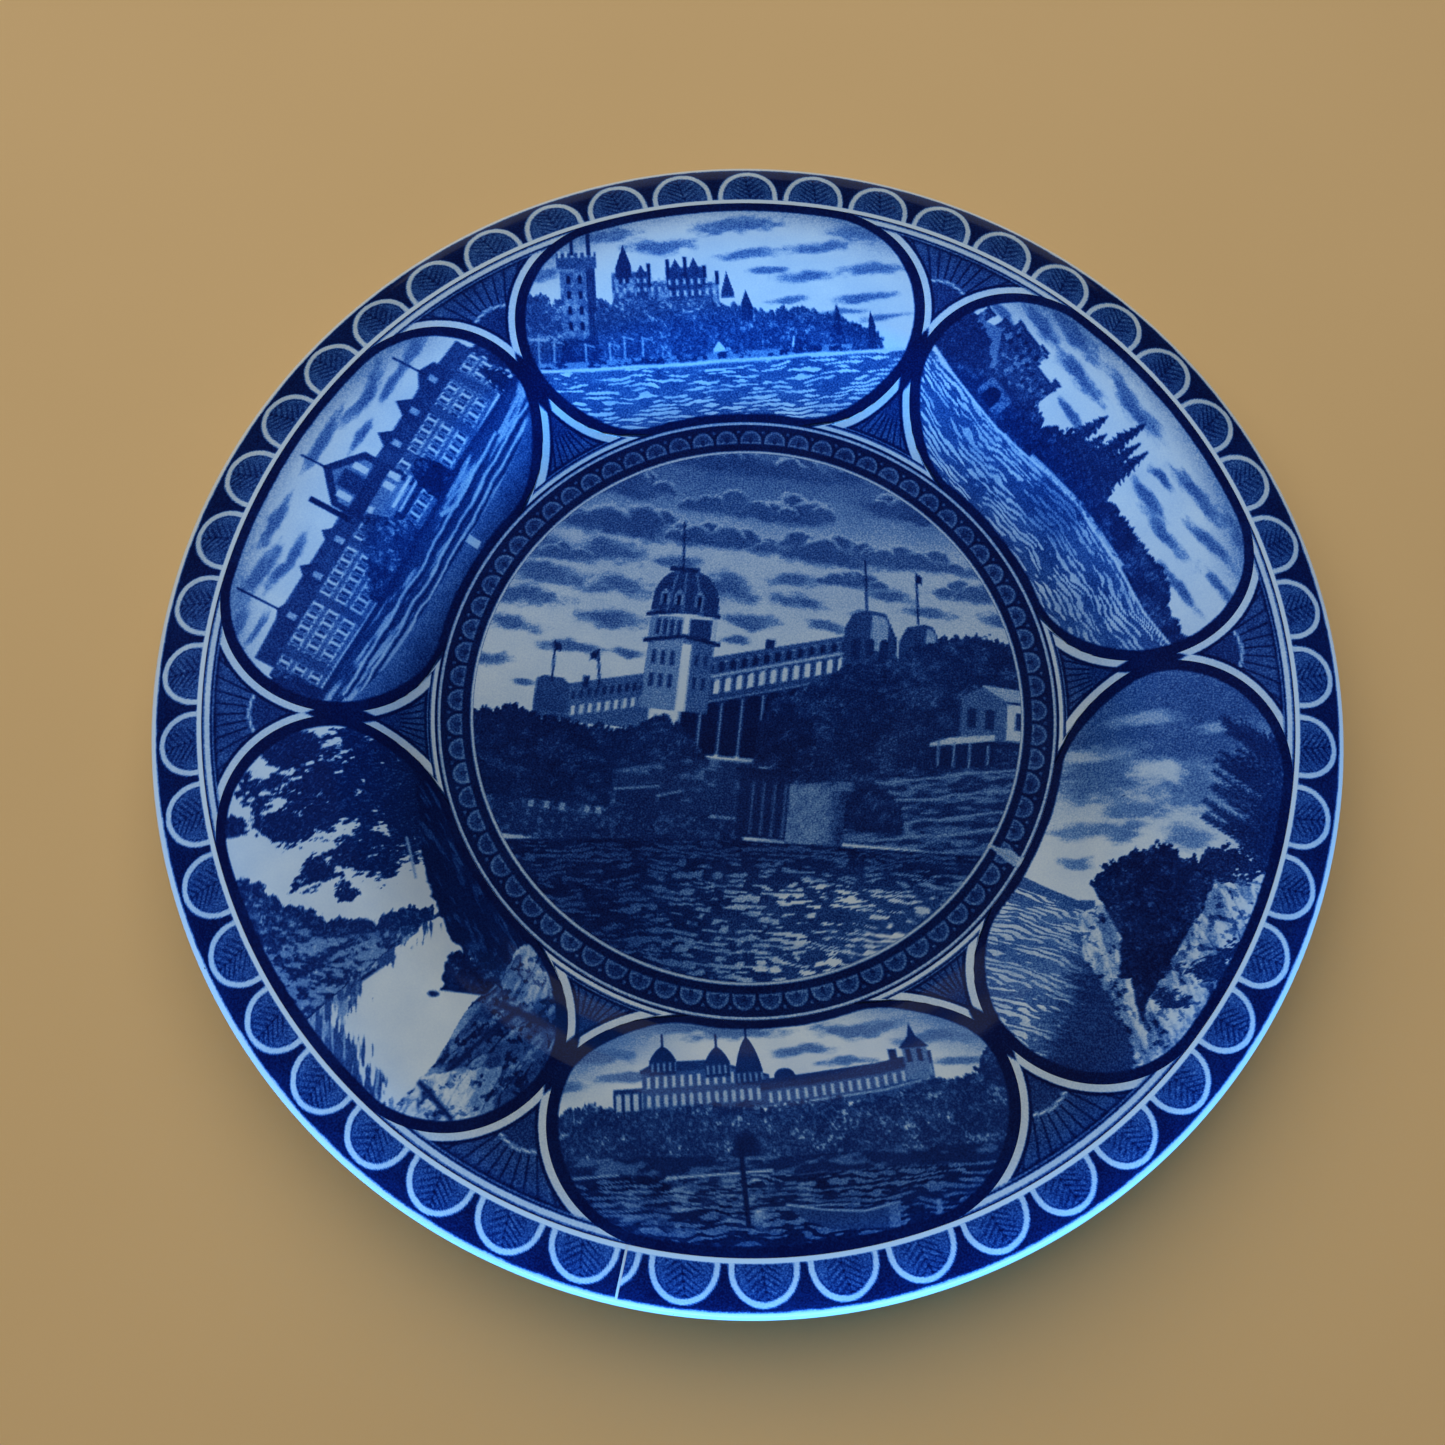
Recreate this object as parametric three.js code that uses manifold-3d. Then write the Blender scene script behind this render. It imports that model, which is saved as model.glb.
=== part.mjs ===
// A ten-inch souvenir plate with a rolled edge, in blue underglaze transfer print.
// Millimetres, +Z up. The plate stands on its foot ring at z = 0, its axis is the Z axis,
// and +Y is the top of the centre picture.
//
// A fired plate is one piece, and it is built here as the potter builds it up: the biscuit
// body, the printed sections laid on its face, and the glaze over everything but the foot.
// The layers are thicker than fired ones, with a fine gap between them, so that each is a
// solid of its own.

import * as THREE from 'three';
import { mergeVertices } from 'three/addons/utils/BufferGeometryUtils.js';
import Module from 'manifold-3d';

// Overall sizes, over the glaze
const PLATE_RADIUS = 127;
const PLATE_HEIGHT = 26;

// Shape of the body
const WALL = 3.4;
const WELL_RADIUS = 67;         // the flat of the well, where the cavetto begins
const CAVETTO_RUN = 25;         // across the sloping wall between the well and the rim
const CAVETTO_SWEEP = 10;       // length of the curve's handles at its two ends
const RIM_RISE = 3.9;           // from the top of the cavetto up to the crest of the rim
const RIM_STEEPNESS = 1.6;      // slope where the rim leaves the cavetto, over its mean slope
const ROLL_WIDTH = 14;          // from the crest of the rim out to its edge
const ROLL_FULLNESS = 0.6;      // how high the roll stays before it turns down, 0 to 1
const LIP_DROP = 4;             // from the crest of the rim down to its edge

// Foot ring
const FOOT_HEIGHT = 1.6;
const FOOT_OUTSET = 1.6;        // middle of the ring, out from the edge of the well
const FOOT_WIDTH = 3.6;         // across its flat bottom
const FOOT_FLARE = 0.7;         // each side leans out by this much

// Layers on the body
const LAYER_GAP = 0.1;
const PRINT_THICKNESS = 0.2;
const GLAZE_THICKNESS = 0.3;

// Printed sections, from the edge of the plate in to the middle
const BARE_EDGE = 1.4;
const SCALLOP_BAND_WIDTH = 10.2;
const MEDALLION_BAND_WIDTH = 6.9;
const PICTURE_MARGIN = 4.7;      // from the picture out to the edge of the well
const SECTION_GAP = 0.3;         // between neighbouring sections
const TRANSFER_SEAM_ANGLE = 264; // where the two ends of the scallop strip meet
const TRANSFER_SEAM_WIDTH = 0.6;

// The framed views between the two bands
const VIEW_COUNT = 6;
const FIRST_VIEW_ANGLE = 40;
const VIEW_INNER_MARGIN = 0.8;   // from the medallion band
const VIEW_OUTER_MARGIN = 0.7;   // from the scallop band
const VIEW_LOWER_DEPTH = 18.5;   // from a view's inner edge out to where it is widest
const VIEW_GAP_ANGLE = 0.8;      // between neighbours
const VIEW_CORNER_ANGLE = 15;    // how much of the turn each swept corner takes

// Finishes
const CLAY = { color: '#e9e2d0', roughness: 0.9 };
const PICTURE_BLUE = { color: '#3c5b9a', roughness: 0.25 };
const VIEW_BLUE = { color: '#2f63c4', roughness: 0.25 };
const FAN_BLUE = { color: '#23418f', roughness: 0.25 };
const BAND_NAVY = { color: '#141f4a', roughness: 0.25 };
const GLAZE = { color: '#dfe9f2', roughness: 0.12 };

// Fineness of the facets
const TURN_STEPS = 48;
const WELL_STEPS = 2;
const CURVE_STEPS = 4;
const VIEW_CORNER_STEPS = 4;
const VIEW_SIDE_STEPS = 3;

const PRINT_FROM = LAYER_GAP;
const PRINT_TO = PRINT_FROM + PRINT_THICKNESS;
const GLAZE_FROM = PRINT_TO + LAYER_GAP;
const GLAZE_TO = GLAZE_FROM + GLAZE_THICKNESS;

const lipRadius = PLATE_RADIUS - GLAZE_TO;
const lipHeight = PLATE_HEIGHT - LIP_DROP;
const crestRadius = PLATE_RADIUS - ROLL_WIDTH;
const crestHeight = PLATE_HEIGHT - GLAZE_TO;
const shoulderRadius = WELL_RADIUS + CAVETTO_RUN;
const shoulderHeight = crestHeight - RIM_RISE;
const wellHeight = FOOT_HEIGHT + WALL;
const footInner = WELL_RADIUS + FOOT_OUTSET - FOOT_WIDTH / 2;
const footOuter = footInner + FOOT_WIDTH;

const scallopRadius = PLATE_RADIUS - BARE_EDGE;
const borderRadius = scallopRadius - SCALLOP_BAND_WIDTH;
const pictureRadius = WELL_RADIUS - PICTURE_MARGIN;
const medallionRadius = pictureRadius + MEDALLION_BAND_WIDTH;
const viewInner = medallionRadius + VIEW_INNER_MARGIN;
const viewOuter = borderRadius - VIEW_OUTER_MARGIN;
const viewWidest = viewInner + VIEW_LOWER_DEPTH;
const viewHalfAngle = 180 / VIEW_COUNT - VIEW_GAP_ANGLE / 2;

const wasm = await Module();
wasm.setup();

const point = (radius, height) => new THREE.Vector2(radius, height);

function curve(...handles) {
  return new THREE.CubicBezierCurve(...handles).getPoints(CURVE_STEPS);
}

// The face of the body, from the axis out to its outermost edge
function facePoints() {
  const wellEdge = point(WELL_RADIUS, wellHeight);
  const shoulder = point(shoulderRadius, shoulderHeight);
  const crest = point(crestRadius, crestHeight);
  const edge = point(lipRadius, lipHeight);
  const rimSpan = crestRadius - shoulderRadius;
  const rimSlope = point(rimSpan, RIM_STEEPNESS * RIM_RISE).normalize();
  const well = [];
  for (let i = 0; i < WELL_STEPS; i += 1) well.push(point((WELL_RADIUS * i) / WELL_STEPS, wellHeight));
  const cavetto = curve(
    wellEdge,
    point(wellEdge.x + CAVETTO_SWEEP, wellHeight),
    shoulder.clone().addScaledVector(rimSlope, -CAVETTO_SWEEP),
    shoulder,
  );
  const rim = curve(
    shoulder,
    shoulder.clone().addScaledVector(rimSlope, rimSpan / 3),
    point(crest.x - rimSpan / 3, crest.y),
    crest,
  );
  const roll = curve(
    crest,
    point(crest.x + ROLL_WIDTH / 2, crest.y),
    point(edge.x, edge.y + (crest.y - edge.y) * ROLL_FULLNESS),
    edge,
  );
  return [...well, ...cavetto, ...rim.slice(1), ...roll.slice(1)];
}

// The same run of points, moved out along its normals (to the left of its direction)
function offset(points, distance) {
  return points.map((here, i) => {
    const before = points[Math.max(i - 1, 0)];
    const after = points[Math.min(i + 1, points.length - 1)];
    const along = after.clone().sub(before).normalize();
    const moved = point(here.x - along.y * distance, here.y + along.x * distance);
    if (here.x === 0) moved.x = 0;
    return moved;
  });
}

// The stretch of a run of points between two radii
function between(points, from, to) {
  const at = (radius) => {
    const next = points.findIndex((candidate) => candidate.x >= radius);
    const a = points[Math.max(next - 1, 0)];
    const b = points[next];
    return b.x === a.x ? b.clone() : a.clone().lerp(b, (radius - a.x) / (b.x - a.x));
  };
  return [at(from), ...points.filter((p) => p.x > from && p.x < to), at(to)];
}

// The back of the body, from its outermost edge in to the top of the foot ring's outer side
function backPoints(face) {
  const under = offset(face.filter((p) => p.x <= crestRadius), -WALL);
  const edge = face.at(-1);
  const underCrest = under.at(-1);
  const underRoll = curve(
    edge,
    point(edge.x, edge.y - WALL),
    point((edge.x + underCrest.x) / 2, underCrest.y),
    underCrest,
  );
  const back = between(under, footOuter + FOOT_FLARE, underCrest.x).reverse();
  return [...underRoll.slice(1), ...back.slice(1)];
}

// Leaves only the places of a mesh's points, each held once
function bare(geometry) {
  geometry.deleteAttribute('normal');
  geometry.deleteAttribute('uv');
  return mergeVertices(geometry);
}

// Turns a closed outline about the Z axis. It is a list of (radius, height) points that goes
// anticlockwise round the section, with the axis on its left.
function turned(outline) {
  const lathe = new THREE.LatheGeometry([...outline, outline[0].clone()], TURN_STEPS);
  lathe.rotateX(Math.PI / 2);
  const geometry = bare(lathe);
  const corners = geometry.index.array;
  const kept = [];
  for (let i = 0; i < corners.length; i += 3) {
    const [a, b, c] = corners.slice(i, i + 3);
    if (a !== b && b !== c && c !== a) kept.push(a, b, c);
  }
  geometry.setIndex(kept);
  return geometry;
}

function toSolid(geometry) {
  return new wasm.Manifold(new wasm.Mesh({
    numProp: 3,
    vertProperties: new Float32Array(geometry.getAttribute('position').array),
    triVerts: new Uint32Array(geometry.index.array),
  }));
}

function toGeometry(solid) {
  const mesh = solid.getMesh();
  const geometry = new THREE.BufferGeometry();
  geometry.setAttribute('position', new THREE.BufferAttribute(mesh.vertProperties, 3));
  geometry.setIndex(new THREE.BufferAttribute(mesh.triVerts, 1));
  return geometry;
}

// One printed ring, or a disc where it starts at the axis
function printedRing(face, from, to) {
  const lower = between(offset(face, PRINT_FROM), from, to);
  const upper = between(offset(face, PRINT_TO), from, to);
  return turned([...lower, ...upper.reverse()]);
}

// The outline of a framed view: a band of the border whose corners are swept round, grown by
// a distance all round. Its outer side comes first, then its inner side, each with a half turn.
function viewOutline(angle, growth) {
  const straight = viewHalfAngle - VIEW_CORNER_ANGLE;
  const corner = VIEW_CORNER_ANGLE + THREE.MathUtils.radToDeg(growth / viewWidest);
  const outerDepth = viewOuter - viewWidest + growth;
  const innerDepth = VIEW_LOWER_DEPTH + growth;
  const outline = [];
  const add = (degrees, radius) => {
    const theta = THREE.MathUtils.degToRad(angle + degrees);
    outline.push(point(radius * Math.cos(theta), radius * Math.sin(theta)));
  };
  for (const side of [1, -1]) {
    const flat = side > 0 ? viewWidest - innerDepth : viewWidest + outerDepth;
    for (let i = 0; i < VIEW_SIDE_STEPS; i += 1) {
      add(side * straight * ((2 * i) / VIEW_SIDE_STEPS - 1), flat);
    }
    for (let i = 0; i < 2 * VIEW_CORNER_STEPS; i += 1) {
      const sweep = (Math.PI / 2) * (i / VIEW_CORNER_STEPS - 1);
      const rise = side * Math.sin(sweep);
      const depth = rise > 0 ? outerDepth : innerDepth;
      add(side * (straight + corner * Math.cos(sweep)), viewWidest + depth * rise);
    }
  }
  return outline;
}

// A block in the shape of an outline, standing through the whole height of the plate
function prism(outline) {
  const block = new THREE.ExtrudeGeometry(new THREE.Shape(outline), {
    depth: 2 * PLATE_HEIGHT, bevelEnabled: false,
  });
  return toSolid(bare(block));
}

const plate = new THREE.Group();

function addPiece(name, geometry, finish) {
  const piece = new THREE.Mesh(geometry, new THREE.MeshStandardMaterial({ ...finish, metalness: 0 }));
  piece.name = name;
  plate.add(piece);
}

function addBiscuitBody(face, back) {
  const foot = [
    point(footOuter, 0),
    point(footInner, 0),
    point(footInner - FOOT_FLARE, FOOT_HEIGHT),
    point(0, FOOT_HEIGHT),
  ];
  const section = [...face, ...back, ...foot].reverse();
  addPiece('biscuit_body', turned(section), CLAY);
}

// The glaze runs from the middle of the face, over the edge, and down the back to the foot
function addGlaze(face, back) {
  const surface = [...face, ...back.slice(0, -1)];
  const inside = offset(surface, GLAZE_FROM);
  const outside = offset(surface, GLAZE_TO);
  addPiece('glaze_coat', turned([...inside, ...outside.reverse()]), GLAZE);

  const recess = footInner - 2 * FOOT_FLARE;
  const recessSkin = [
    point(0, FOOT_HEIGHT - GLAZE_TO),
    point(recess, FOOT_HEIGHT - GLAZE_TO),
    point(recess, FOOT_HEIGHT - GLAZE_FROM),
    point(0, FOOT_HEIGHT - GLAZE_FROM),
  ];
  addPiece('glaze_recess', turned(recessSkin), GLAZE);
}

function addCentrePrints(face) {
  const picture = printedRing(face, 0, pictureRadius);
  const band = printedRing(face, pictureRadius + SECTION_GAP, medallionRadius);
  addPiece('centre_picture_print', picture, PICTURE_BLUE);
  addPiece('medallion_band_print', band, BAND_NAVY);
}

function addViewBorder(face) {
  const ring = toSolid(printedRing(face, medallionRadius + SECTION_GAP, borderRadius));
  let ground = ring;
  for (let i = 0; i < VIEW_COUNT; i += 1) {
    const angle = FIRST_VIEW_ANGLE + (360 / VIEW_COUNT) * i;
    const view = ring.intersect(prism(viewOutline(angle, -SECTION_GAP / 2)));
    ground = ground.subtract(prism(viewOutline(angle, SECTION_GAP / 2)));
    addPiece(`view_print_${i + 1}`, toGeometry(view), VIEW_BLUE);
  }
  addPiece('fan_border_print', toGeometry(ground), FAN_BLUE);
}

function addScallopBand(face) {
  const ring = toSolid(printedRing(face, borderRadius + SECTION_GAP, scallopRadius));
  const seam = new THREE.BoxGeometry(PLATE_RADIUS, TRANSFER_SEAM_WIDTH, 3 * PLATE_HEIGHT);
  seam.translate(PLATE_RADIUS, 0, 0);
  seam.rotateZ(THREE.MathUtils.degToRad(TRANSFER_SEAM_ANGLE));
  const band = ring.subtract(toSolid(bare(seam)));
  addPiece('scallop_band_print', toGeometry(band), BAND_NAVY);
}

const face = facePoints();
const back = backPoints(face);
addBiscuitBody(face, back);
addCentrePrints(face);
addViewBorder(face);
addScallopBand(face);
addGlaze(face, back);

export default plate;
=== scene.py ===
# %% [markdown]
# # A blue souvenir plate
# The real plate is one piece of pottery made in layers: a biscuit body turned on a wheel, paper
# transfers printed in cobalt blue and rubbed down on it, and a clear glaze fired over both. The
# scene builds the same layers: a body, a glaze, and a thin sheet for each transfer. They are
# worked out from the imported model, which is loaded first and sets every place and size.

from math import cos, pi, radians, sin

import bmesh
import bpy
import numpy as np
from mathutils import Matrix, Vector


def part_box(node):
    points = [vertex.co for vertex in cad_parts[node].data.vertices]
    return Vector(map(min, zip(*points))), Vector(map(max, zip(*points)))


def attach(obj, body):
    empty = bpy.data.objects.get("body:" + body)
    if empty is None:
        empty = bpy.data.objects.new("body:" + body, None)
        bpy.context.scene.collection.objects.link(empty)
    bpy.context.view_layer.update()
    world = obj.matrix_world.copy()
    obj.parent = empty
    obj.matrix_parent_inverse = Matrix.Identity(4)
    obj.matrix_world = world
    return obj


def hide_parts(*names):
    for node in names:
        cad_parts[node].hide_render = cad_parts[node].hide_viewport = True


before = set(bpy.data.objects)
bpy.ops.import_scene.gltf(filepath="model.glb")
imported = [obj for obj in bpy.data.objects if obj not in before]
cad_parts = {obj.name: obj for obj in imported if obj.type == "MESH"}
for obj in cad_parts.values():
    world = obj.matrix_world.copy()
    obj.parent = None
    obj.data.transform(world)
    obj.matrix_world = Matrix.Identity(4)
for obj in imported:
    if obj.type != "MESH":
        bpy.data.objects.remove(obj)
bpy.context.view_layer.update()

# %% [markdown]
# ## Sizes
# Blender works in metres here, and a potter in millimetres, so every size below is in
# millimetres and is turned into metres at the last step. The radii of the layers come from the
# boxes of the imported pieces. The rest describes the curve of the plate's face: a flat well, the
# cavetto, which is the wall that sweeps up from the well, the rim, and a rolled edge.

# %% Radii from the frame, and the shape of the face
MM = 0.001


def reach(node):
    """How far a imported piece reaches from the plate's axis, in mm."""
    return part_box(node)[1].x / MM


def top_of(node):
    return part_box(node)[1].z / MM


plate_radius = reach("glaze_coat")
plate_height = top_of("glaze_coat")
body_radius = reach("biscuit_body")
body_crest = top_of("biscuit_body")
picture_radius = reach("centre_picture_print")
medallion_radius = reach("medallion_band_print")
border_radius = reach("fan_border_print")
scallop_radius = reach("scallop_band_print")
glaze_over = plate_radius - body_radius

wall = 3.4
well_radius, shoulder_radius, crest_radius = 67.0, 92.0, 113.0
cavetto_sweep = 10.0                    # how gently the cavetto leaves the well and meets the rim
rim_rise, rim_steepness = 3.9, 1.6      # the rim's climb, and how much steeper it starts
roll_width, roll_fullness = 14.0, 0.6   # the rolled edge, and how squarely it turns down
lip_drop = 4.0                          # from the plate's top down to its widest circle
shoulder_height = body_crest - rim_rise
lip_height = plate_height - lip_drop
foot_height = 1.6
foot_inner, foot_outer, foot_flare = 66.8, 70.4, 0.7
well_height = foot_height + wall
print(f"plate {2 * plate_radius:.0f} mm across and {plate_height:.0f} mm high, glaze {glaze_over:.1f} mm")

# %% [markdown]
# ## The section
# Half of the plate's section, turned about the axis, gives the body and the glaze. Its curves
# are cubic Beziers, as in a drawing program: two ends and two handles. A second path runs at a
# fixed distance beside the first, which is how a coat of glaze follows a body.

# %% Curves and offsets
def bezier(a, b, c, d, steps=26):
    t = np.linspace(0, 1, steps + 1)[:, None]
    a, b, c, d = (np.array(p, float) for p in (a, b, c, d))
    return (1 - t) ** 3 * a + 3 * (1 - t) ** 2 * t * b + 3 * (1 - t) * t**2 * c + t**3 * d


def beside(path, distance):
    """The path moved to its left by a distance. A point on the axis stays on it."""
    along = np.gradient(path, axis=0)
    along /= np.hypot(along[:, 0], along[:, 1])[:, None]
    moved = path + distance * np.stack([-along[:, 1], along[:, 0]], axis=1)
    moved[path[:, 0] == 0, 0] = 0
    return moved


def joined(*paths):
    """Paths laid end to end, with the point that two of them share kept once."""
    return np.concatenate([paths[0]] + [p[1:] for p in paths[1:]])


def face_path():
    """The face of the body, from the axis out to its edge, as (radius, height) in mm."""
    rim_run = crest_radius - shoulder_radius
    slope = np.array([rim_run, rim_steepness * (body_crest - shoulder_height)])
    slope /= np.hypot(*slope)
    shoulder = np.array([shoulder_radius, shoulder_height])
    well = np.linspace((0, well_height), (well_radius, well_height), 24)
    cavetto = bezier((well_radius, well_height), (well_radius + cavetto_sweep, well_height),
                     shoulder - cavetto_sweep * slope, shoulder)
    rim = bezier(shoulder, shoulder + slope * rim_run / 3,
                 (crest_radius - rim_run / 3, body_crest), (crest_radius, body_crest), 18)
    roll = bezier((crest_radius, body_crest), (crest_radius + roll_width / 2, body_crest),
                  (body_radius, lip_height + roll_fullness * (body_crest - lip_height)),
                  (body_radius, lip_height))
    return joined(well, cavetto, rim, roll)


def back_path(face):
    """The back of the body, from its edge in to the top of the foot ring."""
    under = beside(face[face[:, 0] <= crest_radius], -wall)
    edge, under_crest = face[-1], under[-1]
    lip = bezier(edge, edge - (0, wall), ((edge[0] + under_crest[0]) / 2, under_crest[1]), under_crest, 14)
    return joined(lip, under[under[:, 0] > foot_outer + foot_flare][::-1])


face = face_path()
back = back_path(face)
skin = beside(face, glaze_over)


def height_at(radius):
    """The height of the glazed face above the foot, at a distance from the axis."""
    return np.interp(radius, skin[:, 0], skin[:, 1])


print(f"glazed well at {height_at(0.0):.2f} mm, crest at {height_at(crest_radius):.2f} mm")

# %% [markdown]
# ## Engraving tools
# The pictures on the plate began as lines and dots cut in a copper plate. A picture here is
# engraved the same way, mark over mark: every point of a printed sheet holds an amount of ink,
# from 0 for bare ware to 1 for the darkest blue, and each mark moves the ink of the points
# that it covers. The points can be painted because the sheets have a vertex every quarter to
# half a millimetre. Marks made by formula stay sharp at any size and can be changed one by one.
#
# The first tools make controlled accidents: random values that are the same on every run,
# soft patches made from them, and the round heads of a bank of cloud.

# %% Seeded patches and billows
def chance(i, j, seed):
    """A repeatable value from 0 to 1 for each pair of whole numbers."""
    mixed = np.sin(i * 127.1 + j * 311.7 + seed * 74.7) * 43758.5453
    return mixed - np.floor(mixed)


def patches(x, y, size, seed, octaves=3):
    """Soft random patches about size across, from 0 to 1."""
    total, weight = 0.0, 0.0
    for octave in range(octaves):
        u, v = x / size * 2**octave, y / size * 2**octave
        i, j = np.floor(u), np.floor(v)
        s, t = u - i, v - j
        s, t = s * s * (3 - 2 * s), t * t * (3 - 2 * t)
        low = chance(i, j, seed) * (1 - s) + chance(i + 1, j, seed) * s
        high = chance(i, j + 1, seed) * (1 - s) + chance(i + 1, j + 1, seed) * s
        total = total + (low * (1 - t) + high * t) * 0.6**octave
        weight += 0.6**octave
    return total / weight


def ramp(value, low, high):
    """Eases from 0 where value is low to 1 where it is high."""
    t = np.clip((value - low) / (high - low), 0, 1)
    return t * t * (3 - 2 * t)


def billows(x, size, seed):
    """The outline of a row of round heads, each about size across."""
    cell = np.floor(x / size)
    outline = np.zeros_like(x)
    for step in (-1, 0, 1):
        i = cell + step
        middle = (i + 0.25 + 0.5 * chance(i, 1, seed)) * size
        radius = size * (0.45 + 0.45 * chance(i, 2, seed))
        outline = np.maximum(outline, np.sqrt(np.clip(radius**2 - (x - middle) ** 2, 0, None)))
    return outline


# %% [markdown]
# An Engraving keeps the place of every point of a picture, in millimetres from its middle with
# y up, and the ink there. Almost everything in a landscape is a stretch between a left and a
# right side with something for its bottom and its top, so one method, fill, lays them all: a
# wall has level ends, a roof has a sloping line on top, a wood a ragged one. A mark's edge
# fades over a third of a millimetre, so that it looks printed and not cut.

# %% The engraver's marks
class Engraving:
    def __init__(self, x, y, tone):
        self.x, self.y = x, y
        self.ink = np.full(x.shape, float(tone))

    def lay(self, distance, tone, blur=0.35):
        """Moves the ink to tone wherever distance, in mm from the mark's edge, is negative."""
        cover = np.clip(0.5 - distance / blur, 0, 1)
        self.ink += cover * (tone - self.ink)

    def fill(self, left, right, bottom, top, tone, blur=0.35):
        across = np.maximum(left - self.x, self.x - right)
        self.lay(np.maximum(across, np.maximum(bottom - self.y, self.y - top)), tone, blur)

    def line(self, *points):
        """The height, at every point, of the line through the points given."""
        return np.interp(self.x, [p[0] for p in points], [p[1] for p in points])

    def peak(self, middle, half, base, rise):
        return base + rise * (1 - np.abs(self.x - middle) / half)

    def dome(self, middle, half, base, rise, power=2.2):
        inside = np.clip(1 - np.abs((self.x - middle) / half) ** power, 0, None)
        return base + rise * inside ** (1 / power)

    def stroke(self, start, end, width, tone, blur=0.35):
        """A straight line from start to end."""
        run = np.subtract(end, start)
        x, y = self.x - start[0], self.y - start[1]
        along = np.clip((x * run[0] + y * run[1]) / (run @ run), 0, 1)
        self.lay(np.hypot(x - along * run[0], y - along * run[1]) - width / 2, tone, blur)

    def blot(self, x, y, across, up, tone, blur=0.4):
        """An oval patch."""
        reach = np.hypot((self.x - x) / across, (self.y - y) / up)
        self.lay((reach - 1) * min(across, up), tone, blur)


# %% [markdown]
# The larger marks are built from those. A heaped cloud is a row of round heads, each lit along
# its upper edge, on a soft grey base, and thin cloud is soft smears. Woods and rock are patches
# cut off at a chosen level, and water is rows of short dashes. A building is a wall with a grid
# of windows whose rows follow its bottom and top, so that they lean as they should when the
# wall runs away from the eye.

# %% Clouds
def smear(art, x, y, across, up, tone, seed):
    """A soft lens of thin cloud."""
    near = np.flatnonzero((np.abs(art.x - x) < 1.3 * across) & (np.abs(art.y - y) < 1.8 * up))
    px, py = art.x[near] - x, art.y[near] - y
    sway = 0.7 * up * (patches(px, 0 * py, 0.8 * across, seed, 1) - 0.5)
    torn = 0.9 * (patches(px, py * 2.2, 2.8, seed + 1, 3) - 0.5)
    reach = np.hypot(px / across, (py + sway) / up) + torn
    art.ink[near] += (1 - ramp(reach, 0.35, 1.12)) * (tone - art.ink[near])


def thin_clouds(art, tone, seed, *places):
    for n, (x, y, across, up) in enumerate(places):
        smear(art, x, y, across, up, tone, seed + n)


def heap_cloud(art, x, y, across, up, belly, rim, seed):
    """A cloud heaped on a level base at y, reaching across each way and up above it."""
    heads = 3 + int(1.7 * across / up)
    for n in sorted(range(heads), key=lambda n: -chance(n, 4, seed)):
        lie = (2 * n + 1) / heads - 1 + 0.3 * (chance(n, 1, seed) - 0.5)
        radius = up * (0.46 + 0.26 * chance(n, 2, seed)) * (1.05 - 0.45 * abs(lie))
        middle_x = x + across * lie
        middle_y = y + (up - radius) * (1 - lie**2) * (0.35 + 0.75 * chance(n, 4, seed))
        near = np.flatnonzero(np.hypot(art.x - middle_x, art.y - middle_y) < 1.7 * radius)
        px, py = art.x[near], art.y[near]
        wobble = 0.42 * (patches(px, py, 0.55 * radius, seed + n, 3) - 0.5)
        height = (py - middle_y) / radius
        reach = np.hypot((px - middle_x) / (1.25 * radius), height) + wobble
        lit = ramp(height + 2 * wobble, -0.1, 0.75) * ramp(reach, 0.6, 0.92)
        cover = (1 - ramp(reach, 0.86, 1.0)) * ramp(height, -0.7, 0.1)
        art.ink[near] += cover * (belly + (rim - belly) * lit - art.ink[near])
    smear(art, x, y + 0.05 * up, 1.15 * across, 0.42 * up, belly, seed)


# %% Woods, water and rock
def wood(art, left, right, bottom, top, tone, seed, ragged=1.2, light=0.13):
    """A mass of leaves with a ragged top. Its own light is in small dabs."""
    heads = ragged * (billows(art.x, 3.2, seed) / 1.6 - 0.8)
    twigs = ragged * 1.8 * (patches(art.x, art.y * 0.6, 0.8, seed + 1, 2) - 0.5)
    dabs = ramp(patches(art.x, art.y * 1.1, 0.6, seed + 2, 2), 0.5, 0.8)
    lit = ramp(patches(art.x, art.y * 1.4, 3.2, seed + 3, 2), 0.45, 0.75)
    shade = tone - light * dabs * (0.6 + lit) - 0.08 * lit + 0.05
    side = 1.6 * (patches(art.x * 0, art.y, 1.5, seed + 4) - 0.5)
    art.fill(left + side, right + side, bottom, top + heads + twigs, shade, 0.4)


def fir(art, x, base, top, half, tone, seed):
    down = np.clip((top - art.y) / (top - base), 0, 1)
    side = np.sign(art.x - x)
    tiers = (top - art.y) / 1.5 + 0.5 * side + 0.6 * patches(art.x, art.y, 1.2, seed, 1)
    reach = half * down**0.75 * (0.45 + 0.55 * (tiers - np.floor(tiers)))
    reach = reach * (0.6 + 0.8 * patches(art.x * 0 + 9 * side, art.y, 1.0, seed + 1, 2))
    outside = np.maximum(np.abs(art.x - x) - reach - 0.15, np.maximum(base - art.y, art.y - top))
    art.lay(outside, tone - 0.1 * ramp(patches(art.x, art.y, 0.7, seed + 2), 0.5, 0.7), 0.4)


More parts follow.
